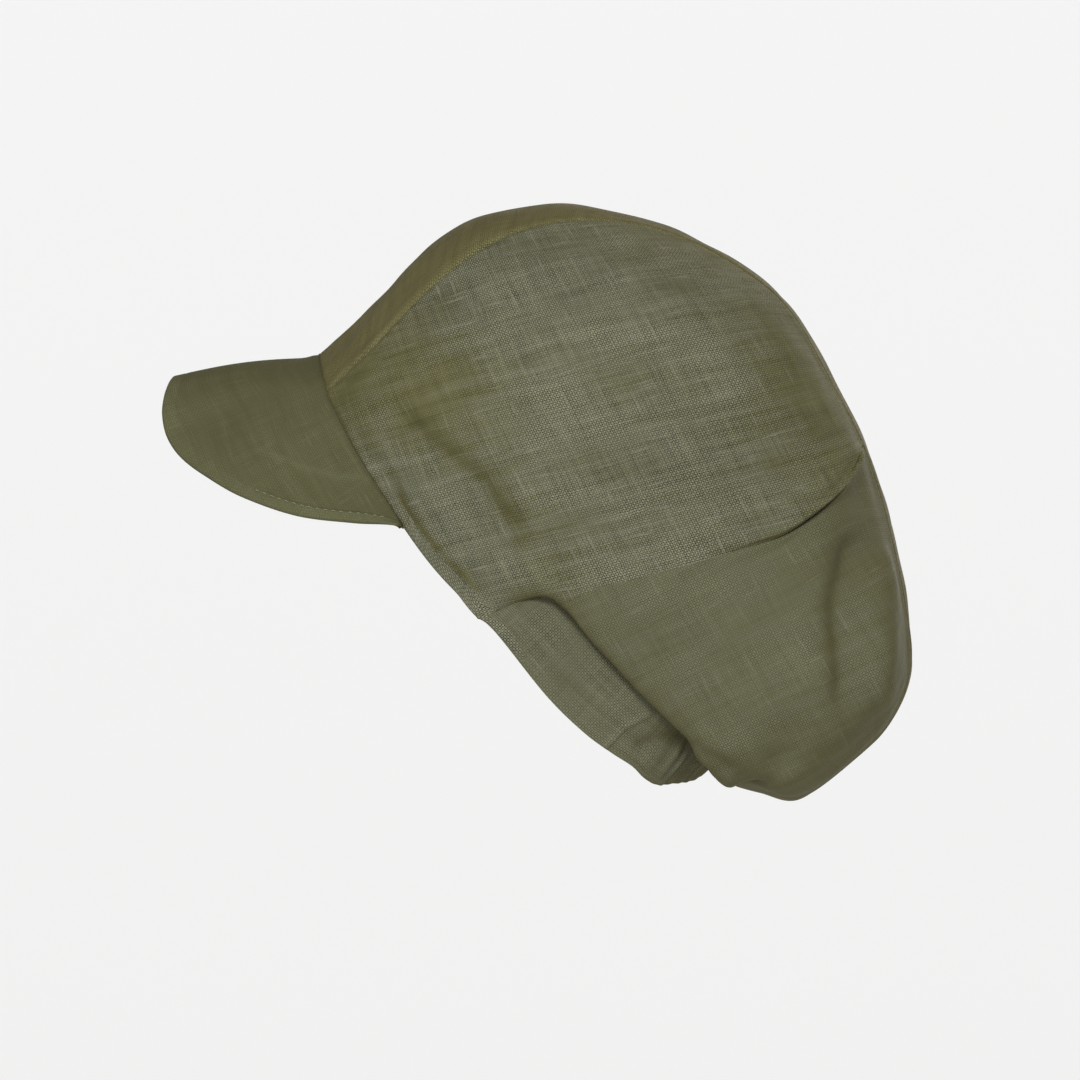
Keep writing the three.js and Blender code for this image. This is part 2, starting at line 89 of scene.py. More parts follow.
def soft_light(name, place, size, power, colour):
    """A square light of so many metres at a place, turned towards the cap."""
    data = bpy.data.lights.new(name, "AREA")
    data.size = size
    data.energy = power
    data.color = colour
    light = bpy.data.objects.new(name, data)
    light.location = place
    aim = np.array([0.03, 0.0, 0.03]) - np.array(place)
    pitch = np.arctan2(np.hypot(aim[0], aim[1]), -aim[2])
    light.rotation_euler = (pitch, 0, np.arctan2(aim[1], aim[0]) - np.pi / 2)
    bpy.context.collection.objects.link(light)
    return light


soft_light("light_beside_camera", (-0.4, -2.9, 1.3), 0.7, 95, (0.94, 0.98, 1.0))
soft_light("light_from_back", (2.6, -1.2, 0.5), 1.0, 8, (0.94, 0.98, 1.0))
soft_light("light_above", (0.2, 0.3, 2.6), 1.2, 10, (1.0, 0.96, 0.88))
soft_light("light_behind", (1.2, 2.6, 0.9), 1.4, 55, (1.0, 0.97, 0.9))

# %% [markdown]
# ## One helper for every surface
# Each piece of the cap is a grid: a function of two parameters gives a point for every row and column.
# The helper turns such a grid into a mesh, with a second grid of cloth coordinates in metres as its UV
# map, so that the weave follows the cloth. For a surface of cloth it also compares the faces' direction with a direction that is
# known to point outwards and turns the grid round where needed.


# %% Small sums that every piece needs
def unit(vectors):
    """Vectors of length 1 with the same direction."""
    return vectors / np.maximum(np.linalg.norm(vectors, axis=-1, keepdims=True), 1e-9)


def bell(distance, width):
    """1 at distance 0, falling off as exp(-(distance / width) ** 2)."""
    return np.exp(-((distance / width) ** 2))


def smooth_step(low, high, value):
    """0 below low, 1 above high and t * t * (3 - 2t) between them."""
    t = np.clip((value - low) / (high - low), 0, 1)
    return t * t * (3 - 2 * t)


def distance_along(line):
    """How far along a line of points each point is."""
    return np.concatenate([[0], np.cumsum(np.linalg.norm(np.diff(line, axis=0), axis=1))])


def row_distances(points):
    """How far along its row each point of a grid is, from the row's start and from its end."""
    step = np.linalg.norm(np.diff(points, axis=1), axis=2)
    travelled = np.concatenate([np.zeros((len(points), 1)), np.cumsum(step, axis=1)], axis=1)
    return travelled, travelled[:, -1:] - travelled


# %% From a grid to a mesh
def grid_normals(points):
    """Unit normals of a grid: the cross product of its two directions, from neighbours on both sides."""
    return unit(np.cross(np.gradient(points, axis=0), np.gradient(points, axis=1)))


def quad_mesh(name, points, cloth):
    """A smooth mesh with a face between every four neighbours in the last two directions of a grid.

    A grid with one more direction before those two is a pile of grids, and no face joins them.
    """
    corner = np.arange(points[..., 0].size).reshape(points.shape[:-1])
    near, far = corner[..., :-1, :], corner[..., 1:, :]
    quads = np.stack([near[..., :-1], far[..., :-1], far[..., 1:], near[..., 1:]], axis=-1)
    mesh = bpy.data.meshes.new(name)
    mesh.from_pydata((points.reshape(-1, 3) * MM).tolist(), [], quads.reshape(-1, 4).tolist())
    mesh.polygons.foreach_set("use_smooth", np.ones(len(mesh.polygons), bool))
    layer = mesh.uv_layers.new(name="cloth")
    layer.data.foreach_set("uv", cloth.reshape(-1, 2)[quads.reshape(-1)].astype(np.float32).ravel())
    piece = bpy.data.objects.new(name, mesh)
    bpy.context.collection.objects.link(piece)
    return piece


def grid_mesh(name, points, cloth, outwards, paler=0.0):
    """A mesh from rows and columns of points in mm and their cloth coordinates in m.

    outwards holds a direction for each point that the surface's outside faces. How far the cloth faces
    sideways, from 0 to 1, is kept as an attribute of painted light: the shader makes the cloth paler and
    cooler there, as light from beside the camera falls on it, and more where paler is above 0.
    """
    paler = paler + np.zeros(points.shape[:2])
    if np.sum(grid_normals(points) * outwards) < 0:
        points, cloth, paler = points[:, ::-1], cloth[:, ::-1], paler[:, ::-1]
    # painted light: the tone follows how far the cloth faces the light beside the camera
    sideways = np.abs(grid_normals(points)[..., 1]) + paler
    piece = quad_mesh(name, points, cloth)
    painted_light = piece.data.attributes.new("painted_light", "FLOAT", "POINT")
    painted_light.data.foreach_set("value", sideways.astype(np.float32).ravel())
    return piece


def give_thickness(piece, thickness):
    """Cloth has two faces: the wall grows inwards from the surface."""
    solid = piece.modifiers.new("thickness", "SOLIDIFY")
    solid.thickness = thickness * MM
    solid.offset = -1
    return piece


# %% [markdown]
# ## The crown's shape
# Think of a bonnet stretched over hoops. Every hoop crosses the middle line on top and is sewn down on
# both sides, at the front to the edge and further back to the elastic band. The table has one row for
# each hoop, from the front of the opening round to the nape, and a smooth curve runs through the rows.
# The solids of the part are made from the same table.

# %% The table of hoops, in mm
# top_x, top_z: on the middle line; sew_x, sew_z, sew_y: where it is sewn; wide: greatest half width;
# high: how far up that is; puff: how much it turns in below; drop, sag: how far it hangs over its edge;
# strip: half width of the strip over the top
HOOPS = np.array([
    [-82.1, 90.7, -82.1, 90.7, 0, 0, 0, 0, 0, 0, 50],
    [-76.1, 95.7, -80.4, 82.4, 26, 26, 0, 0, 0, 0, 50],
    [-67.5, 103.2, -76.5, 70.1, 41, 42, 0.05, 0, 0, 0, 51],
    [-53.3, 118.2, -67.5, 52.5, 55.5, 58, 0.2, 0, 0, 0, 57],
    [-34.0, 138.5, -53.3, 29.7, 67.5, 72, 0.3, 0, 0, 0, 59],
    [-10.3, 152.4, -37.4, 6.7, 74.5, 85, 0.36, 0, 0, 0, 54],
    [16.3, 156.1, -23.8, -8.9, 76.5, 96, 0.4, 0, 0, 0, 43],
    [44.3, 153.5, -11.9, -19.1, 77, 103, 0.42, 0.2, 1, 0, 33],
    [71.8, 145.8, 4.7, -14.2, 78, 107, 0.42, 0.5, 6, 0, 28],
    [98.5, 131.6, 24.1, -10.8, 79, 109, 0.42, 0.9, 11, 0, 27],
    [120.8, 113.1, 41.7, -27.5, 79, 110, 0.44, 1, 11, 0, 27],
    [138.9, 82.1, 54.6, -43.0, 78, 109, 0.46, 1, 10, 0, 27],
    [153.5, 52.5, 64.9, -53.8, 75, 107, 0.48, 1, 10, 0, 27],
    [163.4, 20.6, 72.7, -59.8, 70, 104, 0.5, 1, 10, 2, 27],
    [170.7, -12.5, 77.8, -63.2, 65, 100, 0.5, 1, 9, 5, 27],
    [173.4, -41.7, 82.1, -65.4, 60, 95, 0.5, 1, 10, 10, 27],
    [164.7, -65.4, 85.6, -66.7, 54, 89, 0.52, 1, 7, 15, 26],
    [146.6, -83.8, 88.6, -67.9, 47, 80, 0.6, 1, 4, 20, 26],
    [125.1, -98.9, 91.2, -68.8, 40, 68, 0.72, 1, 2, 20, 26],
    [108.8, -96.3, 94.2, -69.7, 31, 53, 0.8, 0.9, 1, 15, 26],
    [94.5, -91.0, 96.8, -70.1, 21, 36, 0.8, 0.8, 0, 8, 26],
    [96.5, -81.0, 98.9, -70.1, 10.5, 19, 0.7, 0.6, 0, 2, 26],
    [100.2, -69.7, 100.2, -69.7, 0, 0, 0.6, 0.5, 0, 0, 26],
])
LAST = len(HOOPS) - 1
# What a column does across the middle line: 1 is mirrored, -1 changes sign, 0 just carries on
HOOP_MIRROR = np.array([0, 0, 1, 1, -1, -1, 0, 0, -1, -1, 0])
ROUNDNESS = 2.05  # exponent of a hoop's upper half, 2 is an ellipse
OPENING_NORMAL = np.array([0.722, 0, 0.692])  # up and back along the head, square to the opening


# %% A smooth curve through a table's rows
def beyond_end(end, following, mirror):
    """The row that would come past an end: mirrored, mirrored with its sign changed, or carried on."""
    return np.where(mirror == 0, 2 * end - following, mirror * following)


def read_table(table, at, mirror, middle_ends=2):
    """Rows of a table at any row numbers, on a curve through its rows (Catmull-Rom).

    Between rows b and d, with a before and e after them, the value is
    b + f/2 * (d - a + f * (2a - 5b + 4d - e + f * (3(b - d) + e - a))), f going from 0 to 1.
    """
    first = beyond_end(table[0], table[1], mirror)
    final = beyond_end(table[-1], table[-2], mirror if middle_ends == 2 else 0 * mirror)
    rows = np.vstack([first, table, final])
    place = np.clip(at, 0, len(table) - 1)
    i = np.minimum(np.floor(place).astype(int), len(table) - 2)
    f = (place - i)[..., None]
    a, b, d, e = rows[i], rows[i + 1], rows[i + 2], rows[i + 3]
    return b + 0.5 * f * (d - a + f * (2 * a - 5 * b + 4 * d - e + f * (3 * (b - d) + e - a)))


# %% The crown as a grid of hoops
PER_ROW = 32  # hoops for each row of the table
PER_HOOP = 400  # points along half a hoop


def hoop_points(at):
    """Points down the left half of hoops, one hoop a row.

    q runs from 0 on top to 2 at the sewn edge. Up to 1 it is a quarter of a rounded oval, from the top
    to the greatest half width; below, the half width goes back in along half a cosine wave, or along a
    quarter wave where the cloth turns in under itself, and the hoop hangs down by a bell of
    27/4 * r * r * (1 - r).
    """
    top_x, top_z, sew_x, sew_z, sew_y, wide, high, puff, drop, sag, _ = (
        column[:, None] for column in read_table(HOOPS, at, HOOP_MIRROR).T)
    sew_y = np.maximum(sew_y, 0)
    wide = np.maximum(wide, sew_y)
    high = np.maximum(high, 0)
    q = np.linspace(0, 2, PER_HOOP + 1)[None]
    angle = np.minimum(q, 1) * np.pi / 2
    r = np.maximum(q - 1, 0)
    oval_up = high + (1 - high) * np.maximum(np.cos(angle), 0) ** (2 / ROUNDNESS)
    oval_out = wide * np.sin(angle) ** (2 / ROUNDNESS)
    straight = 0.5 + 0.5 * np.cos(np.pi * r)
    tucked = np.cos(np.pi * r / 2)
    lower_up = high * ((1 - puff) * (1 - r) + puff * (1 - np.sin(np.pi * r / 2)))
    lower_out = sew_y + (wide - sew_y) * ((1 - puff) * straight + puff * tucked)
    up = np.where(q <= 1, oval_up, lower_up)
    out = np.where(q <= 1, oval_out, lower_out)
    hang = 27 / 4 * r * r * (1 - r)
    x = sew_x + (top_x - sew_x) * up - OPENING_NORMAL[0] * drop * hang
    z = sew_z + (top_z - sew_z) * up - (OPENING_NORMAL[2] * drop + sag) * hang
    return np.stack([x, -out, z], axis=2)


hoop_at = np.linspace(0, LAST, LAST * PER_ROW + 1)
drawn = hoop_points(hoop_at)
along_hoop, _ = row_distances(drawn)
hoop_length = along_hoop[:, -1]
hoop_share = np.linspace(0, 1, PER_HOOP + 1)
# Respace every hoop so that its points are equally far apart along the cloth
CROWN = np.stack([
    np.stack([np.interp(hoop_share * length, travelled, line[:, k]) for k in range(3)], axis=1)
    for line, travelled, length in zip(drawn, along_hoop, hoop_length)])
strip_width = read_table(HOOPS, hoop_at, HOOP_MIRROR)[:, -1]
strip_share = np.minimum(strip_width / np.maximum(hoop_length, 1e-6), 1)
print("hoops", CROWN.shape[:2], "longest half hoop", round(hoop_length.max()), "mm")


# %% Any point of the crown
def crown(at, share):
    """Points of the smooth crown at hoop numbers and shares of a half hoop, negative on the right.

    The four nearest points of the grid are weighed by how near they are.
    """
    at, share = np.broadcast_arrays(at, share)
    row = np.clip(at, 0, LAST) * PER_ROW
    column = np.clip(np.abs(share), 0, 1) * PER_HOOP
    i = np.minimum(row.astype(int), len(CROWN) - 2)
    j = np.minimum(column.astype(int), PER_HOOP - 1)
    f, g = (row - i)[..., None], (column - j)[..., None]
    upper = CROWN[i, j] * (1 - g) + CROWN[i, j + 1] * g
    lower = CROWN[i + 1, j] * (1 - g) + CROWN[i + 1, j + 1] * g
    points = upper * (1 - f) + lower * f
    points[..., 1] = np.where(share < 0, -points[..., 1], points[..., 1])
    return points


def crown_normal(at, share):
    """Outward unit normals, from a short step along the hoops and one across them."""
    middle = np.clip(at, 0.05, LAST - 0.05)
    along = crown(middle + 0.05, share) - crown(middle - 0.05, share)
    across = crown(middle, share + 0.02) - crown(middle, share - 0.02)
    return unit(np.cross(across, along))


def strip_at(at):
    return np.interp(at, hoop_at, strip_share)


def length_at(at):
    return np.interp(at, hoop_at, hoop_length)


# %% [markdown]
# ## Folds and ripples
# Linen creases softly. The larger folds follow the ones in the solids: a dent at the temple, a valley and
# a swell down the back, a swell along the slanting seam, and a crease where the bag is caught up at the
# nape. A low swell before the temple comes with them. They are given by routes seen from the side, with a
# bell across each. Smaller ripples come from a few waves with random directions.

# %% Folds seen from the side
# depth out of the cloth in mm, negative is a dent; spread in mm; route of x and z in mm
FOLDS = [
    (-5.5, 8, [[-46.0, 60.5], [-30.0, 46.5], [-14.0, 32.5], [-3.5, 17.5], [2.0, -3.0]]),
    (3.0, 9, [[-58.0, 48.0], [-38.0, 30.0], [-20.0, 12.0], [-8.0, -4.0]]),
    (-6.5, 8, [[148.3, 6.5], [143.2, -13.8], [144.1, -31.0], [144.5, -52.5]]),
    (4.0, 8, [[159.5, 3.4], [158.7, -22.4], [156.1, -52.5]]),
    (3.0, 7, [[146.6, 48.6], [135.9, 35.7], [120.8, 24.1], [90.7, 12.0]]),
    (-2.5, 4, [[73.1, -74.0], [85.6, -81.7], [98.0, -89.0]]),
]
FOLDS_GROW = (30, 60)  # mm from the middle line between which they grow
FOLDS_FADE = (0.82, 0.97)  # shares of a hoop between which they fade


def route_distance(route, points):
    """Distance in the side view from points to a route of straight lines."""
    place = points[..., [0, 2]]
    nearest = np.full(place.shape[:-1], np.inf)
    for start, end in zip(np.array(route[:-1]), np.array(route[1:])):
        along = end - start
        t = np.clip(((place - start) @ along) / (along @ along), 0, 1)
        away = np.linalg.norm(place - start - t[..., None] * along, axis=-1)
        nearest = np.minimum(nearest, away)
    return nearest


def fold_depth(points, share):
    """Sum of the folds' bells, depth * exp(-(distance / spread) ** 2), away from middle and edge."""
    grow = smooth_step(*FOLDS_GROW, np.abs(points[..., 1]))
    fade = 1 - smooth_step(*FOLDS_FADE, np.abs(share))
    bells = sum(depth * bell(route_distance(route, points), spread) for depth, spread, route in FOLDS)
    return grow * fade * bells


WAVES = 14
WAVE_HEIGHT = 0.0045  # for each mm of length
wave_length = np.geomspace(16, 62, WAVES)
wave_way = unit(RNG.normal(size=(WAVES, 3)))
wave_start = RNG.uniform(0, 2 * np.pi, WAVES)


def ripples(points):
    """A sum of sine waves through space, longer waves being higher, about 0.6 mm in all."""
    phase = 2 * np.pi * (points @ wave_way.T) / wave_length + wave_start
    return np.sin(phase) @ (wave_length * WAVE_HEIGHT)


# %% [markdown]
# ## Panels between seams
# A panel is drawn row by row: each row runs from a place on one seam to a place on another, straight in
# hoop number and share. Its points crowd together at both ends, where the cloth rolls into the seam.

# %% Where the seams run
YOKE_SEAM = np.array([
    [157.4, 63.6], [151.4, 55.0], [146.6, 39.6], [133.7, 25.8], [117.0, 14.2],
    [89.4, 5.6], [56.8, -3.9], [24.1, -10.8], [13.3, -12.9],
])  # x and z of the seam between side and back panels, in mm
YOKE_ROWS = (7.5, 14)  # it lies between these hoops
PEAK_LAST_HOOP = 4.5  # the visor is sewn on from the middle out to this hoop
TURN_UNDER = 0.86  # share of a hoop where the cloth turns in under itself
SEAM_LEAN = 5  # hoops by which the tucked seam would run forward over a whole half hoop
BACK_SLANT = 3  # hoops by which a back panel's lower edge runs ahead
SLANT_END = 18
SEAM_GAP = 0.4
TIP = 3.0  # a back panel ends where it gets narrower than this, in mm

yoke_x = np.linspace(YOKE_SEAM[-1, 0], YOKE_SEAM[0, 0], 400)
yoke_z = np.interp(yoke_x, YOKE_SEAM[::-1, 0], YOKE_SEAM[::-1, 1])
SOFTEN = 15  # samples on either side that are averaged, about 5 mm
padded = np.pad(yoke_z, SOFTEN, mode="reflect", reflect_type="odd")
yoke_z = np.convolve(padded, np.full(2 * SOFTEN + 1, 1 / (2 * SOFTEN + 1)), mode="valid")


def turning_point(low, high, test):
    """Where a test of an array turns from false to true, by halving 40 times."""
    low, high = np.array(low, float), np.array(high, float)
    for _ in range(40):
        middle = (low + high) / 2
        over = test(middle)
        low, high = np.where(over, low, middle), np.where(over, middle, high)
    return (low + high) / 2


def yoke_at(share):
    """Hoop number at which the yoke seam crosses a share of the hoops."""
    share = np.asarray(share, float)

    def past(at):
        points = crown(at, np.minimum(share, TURN_UNDER))
        return points[..., 2] < np.interp(points[..., 0], yoke_x, yoke_z)

    first = np.full(share.shape, YOKE_ROWS[0])
    final = np.full(share.shape, YOKE_ROWS[1])
    return turning_point(first, final, past) - SEAM_LEAN * np.maximum(share - TURN_UNDER, 0)


def evenly(curve, start, end, count):
    """Places from start to end that are evenly spaced along a curve of points."""
    places = np.linspace(start, end, 600)
    travelled = distance_along(curve(places))
    return np.interp(np.linspace(0, travelled[-1], count + 1), travelled, places)


side_from = turning_point(0, 6, lambda at: length_at(at) * (1 - strip_at(at)) > SEAM_GAP)
back_to = turning_point(LAST - 5, LAST, lambda at: length_at(at) * (1 - strip_at(at)) < TIP)


def beyond_strip(share):
    at = yoke_at(share)
    return (share - strip_at(at)) * length_at(at) > SEAM_GAP


yoke_top = turning_point(0, 1, beyond_strip)
seam_line = lambda share: crown(yoke_at(share), share)
yoke_share = np.concatenate([
    evenly(seam_line, 1, TURN_UNDER, 16), evenly(seam_line, TURN_UNDER, yoke_top, 100)[1:]])
yoke_row = yoke_at(yoke_share)
seam_rows = np.linspace(yoke_row[0], yoke_row[-1], len(yoke_row))
print("yoke seam from hoop", round(float(yoke_row[0]), 2), "to", round(float(yoke_row[-1]), 2))


# %% A panel as rows between two seams
ROLL_DEPTH = 0.9  # how deep the cloth dips into a seam, in mm
ROLL_WIDTH = 1.1
RIDGE_HEIGHT = 0.35  # the seam allowances below lift the cloth beside the seam
RIDGE_PLACE = 4.0
RIDGE_WIDTH = 2.6


def seam_roll(distance):
    """Height beside a seam: a narrow dip at it and a low ridge a few millimetres away."""
    dip = ROLL_DEPTH * bell(distance, ROLL_WIDTH)
    return RIDGE_HEIGHT * bell(distance - RIDGE_PLACE, RIDGE_WIDTH) - dip


LEVEL = 6.0  # mm of depth about the middle that count as flat


def spread_out(points, middle, right, up, weft, warp):
    """Cloth coordinates in m: about as far from the panel's middle as on the cap, in the same direction.

    middle is a point in mm, right and up are directions as seen from outside. A point r to the side
    and d deeper comes sqrt(r * r + d * d) from the middle. weft and warp are the threads' angles in
    degrees; the first coordinate is counted across the warp and the second across the weft.
    """
    away = points - np.array(middle, float)
    right, up = np.array(right, float), np.array(up, float)
    flat = np.stack([away @ right, away @ up], axis=-1)
    deeper = away @ np.cross(right, up)
    deeper = np.maximum(-deeper - LEVEL, 0)[..., None]
    r = np.maximum(np.linalg.norm(flat, axis=-1, keepdims=True), 1.0)
    flat = flat * np.sqrt(r * r + deeper * deeper) / r
    weft, warp = np.radians(weft), np.radians(warp)
    over_warp = flat @ np.array([-np.sin(warp), np.cos(warp)])
    over_weft = flat @ np.array([-np.sin(weft), np.cos(weft)])
    return np.stack([over_warp, over_weft], axis=-1) * MM


def panel_grid(start, end, side, columns, extra=None):
    """Points, normals and shares of a panel whose rows run from start to end.

    start and end hold hoop numbers and shares. The columns are spaced as 0.5 - 0.5 * cos(pi * t).
    extra gives the height from (points, hoop numbers, distance from start, from end) where it isn't
    just a roll into the seam at both ends.
    """
    t = (0.5 - 0.5 * np.cos(np.linspace(0, np.pi, columns)))[None]
    at = start[0][:, None] * (1 - t) + end[0][:, None] * t
    share = start[1][:, None] * (1 - t) + end[1][:, None] * t
    points = crown(at, side * share)
    normal = crown_normal(at, side * share)
    from_start, from_end = row_distances(points)
    calm = smooth_step(0, 12, np.minimum(from_start, from_end))
    height = fold_depth(points, share) + ripples(points) * calm
    if extra is None:
        height += seam_roll(from_start) + seam_roll(from_end)
    else:
        height += extra(points, at, from_start, from_end)
    return points + normal * height[..., None], normal, share


CLOTH_WALL = 2.0
ALLOWANCE = 3.0  # how far a panel goes on below the one it is sewn to, in mm
ALLOWANCE_DEPTH = 2.4


def with_allowance(points, normal, cloth, paler):
    """A panel's grids with one more column before the first: beyond the seam and deeper."""
    away = np.cross(normal[:, :1], np.gradient(points[:, :1], axis=0))
    away = unit(away * np.sign(np.sum(away * (points[:, :1] - points[:, 4:5]))))
    tucked = points[:, :1] + away * ALLOWANCE - normal[:, :1] * ALLOWANCE_DEPTH
    before = (tucked, normal[:, :1], cloth[:, :1] + ALLOWANCE * MM, paler[:, :1])
    return [np.concatenate(pair, axis=1) for pair in zip(before, (points, normal, cloth, paler))]


def finish_piece(piece, node, slot_name, material=None):
    """Hangs a piece on the root body, hides the solid that it stands for and gives it what it is made of.
    """
    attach(piece, "root")
    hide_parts(node)
    piece.data.materials.append(material or LINENS[slot_name])
    print(piece.name, len(piece.data.polygons), "faces")
    return piece


def panel_piece(name, node, slot_name, grids):
    """A panel from its points, normals, cloth coordinates and tones, with its seam allowance."""
    points, normal, cloth, paler = with_allowance(*grids)
    piece = give_thickness(grid_mesh(name, points, cloth, normal, paler), CLOTH_WALL)
    return finish_piece(piece, node, slot_name)


# %% [markdown]
# ## Linen
# Plain weave: threads go over and under one another in turn, eleven to the centimetre in this coarse
# cloth. Linen yarn varies, so each thread has its own tone, and here and there a thread swells into a
# pale slub for a centimetre or two. Larger patches are a little warmer or cooler. All this is worked out
# from the cloth coordinates, so the weave bends with the cloth and stops at the seams.


# %% Shader arithmetic
class Wire:
    """The output of a shader node, with arithmetic written as usual."""

    def __init__(self, tree, socket):
        self.tree, self.socket = tree, socket

    def node(self, kind, inputs, output=0, **settings):
        """Adds a node with its settings and inputs, and gives one of its outputs."""
        made = self.tree.nodes.new(kind)
        for key, value in settings.items():
            setattr(made, key, value)
        for key, value in inputs.items():
            if isinstance(value, Wire):
                self.tree.links.new(value.socket, made.inputs[key])
            else:
                made.inputs[key].default_value = value
        return Wire(self.tree, made.outputs[output])

    def math(self, operation, *values):
        return self.node("ShaderNodeMath", dict(enumerate(values)), operation=operation)

    def __add__(self, other):
        return self.math("ADD", self, other)

    def __sub__(self, other):
        return self.math("SUBTRACT", self, other)

    def __rsub__(self, other):
        return self.math("SUBTRACT", other, self)

    def __mul__(self, other):
        return self.math("MULTIPLY", self, other)

    def __truediv__(self, other):
        return self.math("DIVIDE", self, other)

    __radd__ = __add__
    __rmul__ = __mul__

    def sine(self):
        return self.math("SINE", self)

    def size(self):
        return self.math("ABSOLUTE", self)

    def between(self, low, high, smooth=True):
        """0 below low, 1 above high."""
        kind = "SMOOTHSTEP" if smooth else "LINEAR"
        inputs = {0: self, 1: low, 2: high, 3: 0.0, 4: 1.0}
        return self.node("ShaderNodeMapRange", inputs, interpolation_type=kind)

    def mix(self, first, second):
        """A colour from first, where this is 0, to second, where it is 1."""
        inputs = {0: self, 6: first, 7: second}
        return self.node("ShaderNodeMix", inputs, output=2, data_type="RGBA")

    def noise(self, x, y, z, detail=2.0):
        """Noise, about 0.5 on average, at a place that is worked out from wires."""
        place = self.node("ShaderNodeCombineXYZ", {0: x, 1: y, 2: z})
        inputs = {"Vector": place, "Scale": 1.0, "Detail": detail}
        return self.node("ShaderNodeTexNoise", inputs, output=0)


# %% The linen material
THREAD = 0.9 * MM  # from one thread to the next
PI = float(np.pi)


def linear(red, green, blue):
    """A screen colour from 0 to 255 as the shader takes it: ((c / 255 + 0.055) / 1.055) ** 2.4."""
    return tuple(((c / 255 + 0.055) / 1.055) ** 2.4 for c in (red, green, blue)) + (1.0,)


SLUB_TONE = linear(112, 111, 96)
SLUB_SHOWS = 0.35


def cloth_material(name, roughness, specular):
    """A material with its shader node and two wires that carry the cloth coordinates in m."""
    material = bpy.data.materials.new(name)
    material.use_nodes = True
    tree = material.node_tree
    shader = tree.nodes["Principled BSDF"]
    shader.inputs["Roughness"].default_value = roughness
    shader.inputs["Specular IOR Level"].default_value = specular
    cloth = tree.nodes.new("ShaderNodeUVMap")
    cloth.uv_map = "cloth"
    apart = tree.nodes.new("ShaderNodeSeparateXYZ")
    tree.links.new(cloth.outputs[0], apart.inputs[0])
    return material, shader, Wire(tree, apart.outputs[0]), Wire(tree, apart.outputs[1])


def surface(shader, colour, height, distance):
    """Gives the shader its colour and a bump from a height that stands for distance in m."""
    settings = {"Height": height, "Strength": 0.4, "Distance": distance}
    bump = height.node("ShaderNodeBump", settings)
    height.tree.links.new(colour.socket, shader.inputs["Base Color"])
    height.tree.links.new(bump.socket, shader.inputs["Normal"])


def linen(name, cool, warm, seed, contrast):
    """Plain weave with slubs; cool is painted light, the tone where the cloth faces the light beside the
    camera, and warm is painted shade, the tone where it turns away.

    What u and v are divided by is the size in m of what is drawn along and across the threads.
    """
    material, shader, u, v = cloth_material(name, 0.92, 0.15)
    seed = float(seed)
    wander = (u.noise(u / 0.03, v / 0.03, seed) - 0.5) * 1.6
    jitter = u.noise(u / 0.0035, v / 0.0035, seed + 1) * 1.3
    warp = u / THREAD + wander + jitter
    weft = v / THREAD + wander - jitter
    across = (warp * PI).sine()
    down = (weft * PI).sine()
    over = across * down * 0.5 + 0.5
    ridge = over * across.size() + (1 - over) * down.size()
    hole = (1 - across.size()) * (1 - down.size())
    warp_tone = u.noise(warp, v / 0.03, seed + 3, 1.0) - 0.5
    weft_tone = u.noise(u / 0.03, weft, seed + 7, 1.0) - 0.5
    warp_slub = u.noise(warp / 1.6, v / 0.016, seed + 11, 0.0).between(0.66, 0.88)
    weft_slub = u.noise(u / 0.014, weft / 1.6, seed + 17, 0.0).between(0.66, 0.88)
    slub = warp_slub.math("MAXIMUM", warp_slub, weft_slub)
    streak = u.noise(u / 0.035, v / 0.0045, seed + 23, 3.0) - 0.5
    upright = u.noise(u / 0.004, v / 0.03, seed + 37, 2.0) - 0.5
    patch = u.noise(u / 0.035, v / 0.022, seed + 29, 3.0) - 0.5
    large = u.noise(u / 0.09, v / 0.06, seed + 41, 1.0) - 0.5
    # Painted light and shade: where the attribute says the cloth faces the light beside the camera, the
    # tone is cool, paler and more contrasty; where it turns away, it is warm, darker and smoother.
    painted_light = u.node("ShaderNodeAttribute", {}, output=2, attribute_name="painted_light")
    facing = (painted_light + streak * 0.8 + patch * 0.5).between(0.35, 1.1)
    open_weave = (patch * 2.2 + 0.75).between(0.0, 1.5, False)
    weave = (ridge - 0.5) * 0.6 + (over - 0.5) * 0.5 - (hole - 0.13) * 0.8
    threads = (warp_tone + weft_tone) * 0.6
    strength = (painted_light.between(0.3, 0.95) * 0.65 + 0.35) * contrast
    clouds = streak * 0.6 + upright * 0.3 + large * 0.35
    # painted light: brighter where the cloth faces the light beside the camera, darker where it turns
    # away
    painted_brightness = (painted_light.between(0.0, 1.6, False) - 0.5) * 0.3
    scale = 1 + (weave * open_weave * 2.7 + threads) * strength + clouds * contrast + painted_brightness
    ground = facing.mix(warm, cool)
    woven = ground.node("ShaderNodeVectorMath", {0: ground, 3: scale}, operation="SCALE")
    colour = (slub * strength * SLUB_SHOWS).mix(woven, SLUB_TONE)
    height = ridge * 0.5 + slub * 0.6 + warp_tone + weft_tone
    surface(shader, colour, height, 0.4 * MM)
    return material


# Each panel has a cool and a warm tone. The strip's and the visor's warmer tones and the visor's darker
# ones are partly painted shade, for cloth that turns up and away from the light beside the camera.
LINENS = {
    "centre_linen": linen("centre_linen", linear(81, 78, 51), linear(81, 75, 45), 1, 0.8),
    "side_linen": linen("side_linen", linear(77, 76, 61), linear(76, 73, 45), 2, 1.25),
    "back_linen": linen("back_linen", linear(76, 75, 57), linear(77, 74, 48), 3, 0.6),
    "band_linen": linen("band_linen", linear(79, 78, 61), linear(76, 73, 47), 4, 0.7),
    "peak_linen": linen("peak_linen", linear(72, 71, 49), linear(69, 66, 42), 5, 0.4),
}
print("materials:", ", ".join(LINENS))

# %% [markdown]
# ## Strip over the top
# The strip is cut as one long piece, widest above the visor. It covers the whole front as far as the
# side panels begin, and the whole nape where the back panels have ended.

# %% Strip over the top
STRIP_HOOPS = 420
STRIP_COLUMNS = 81


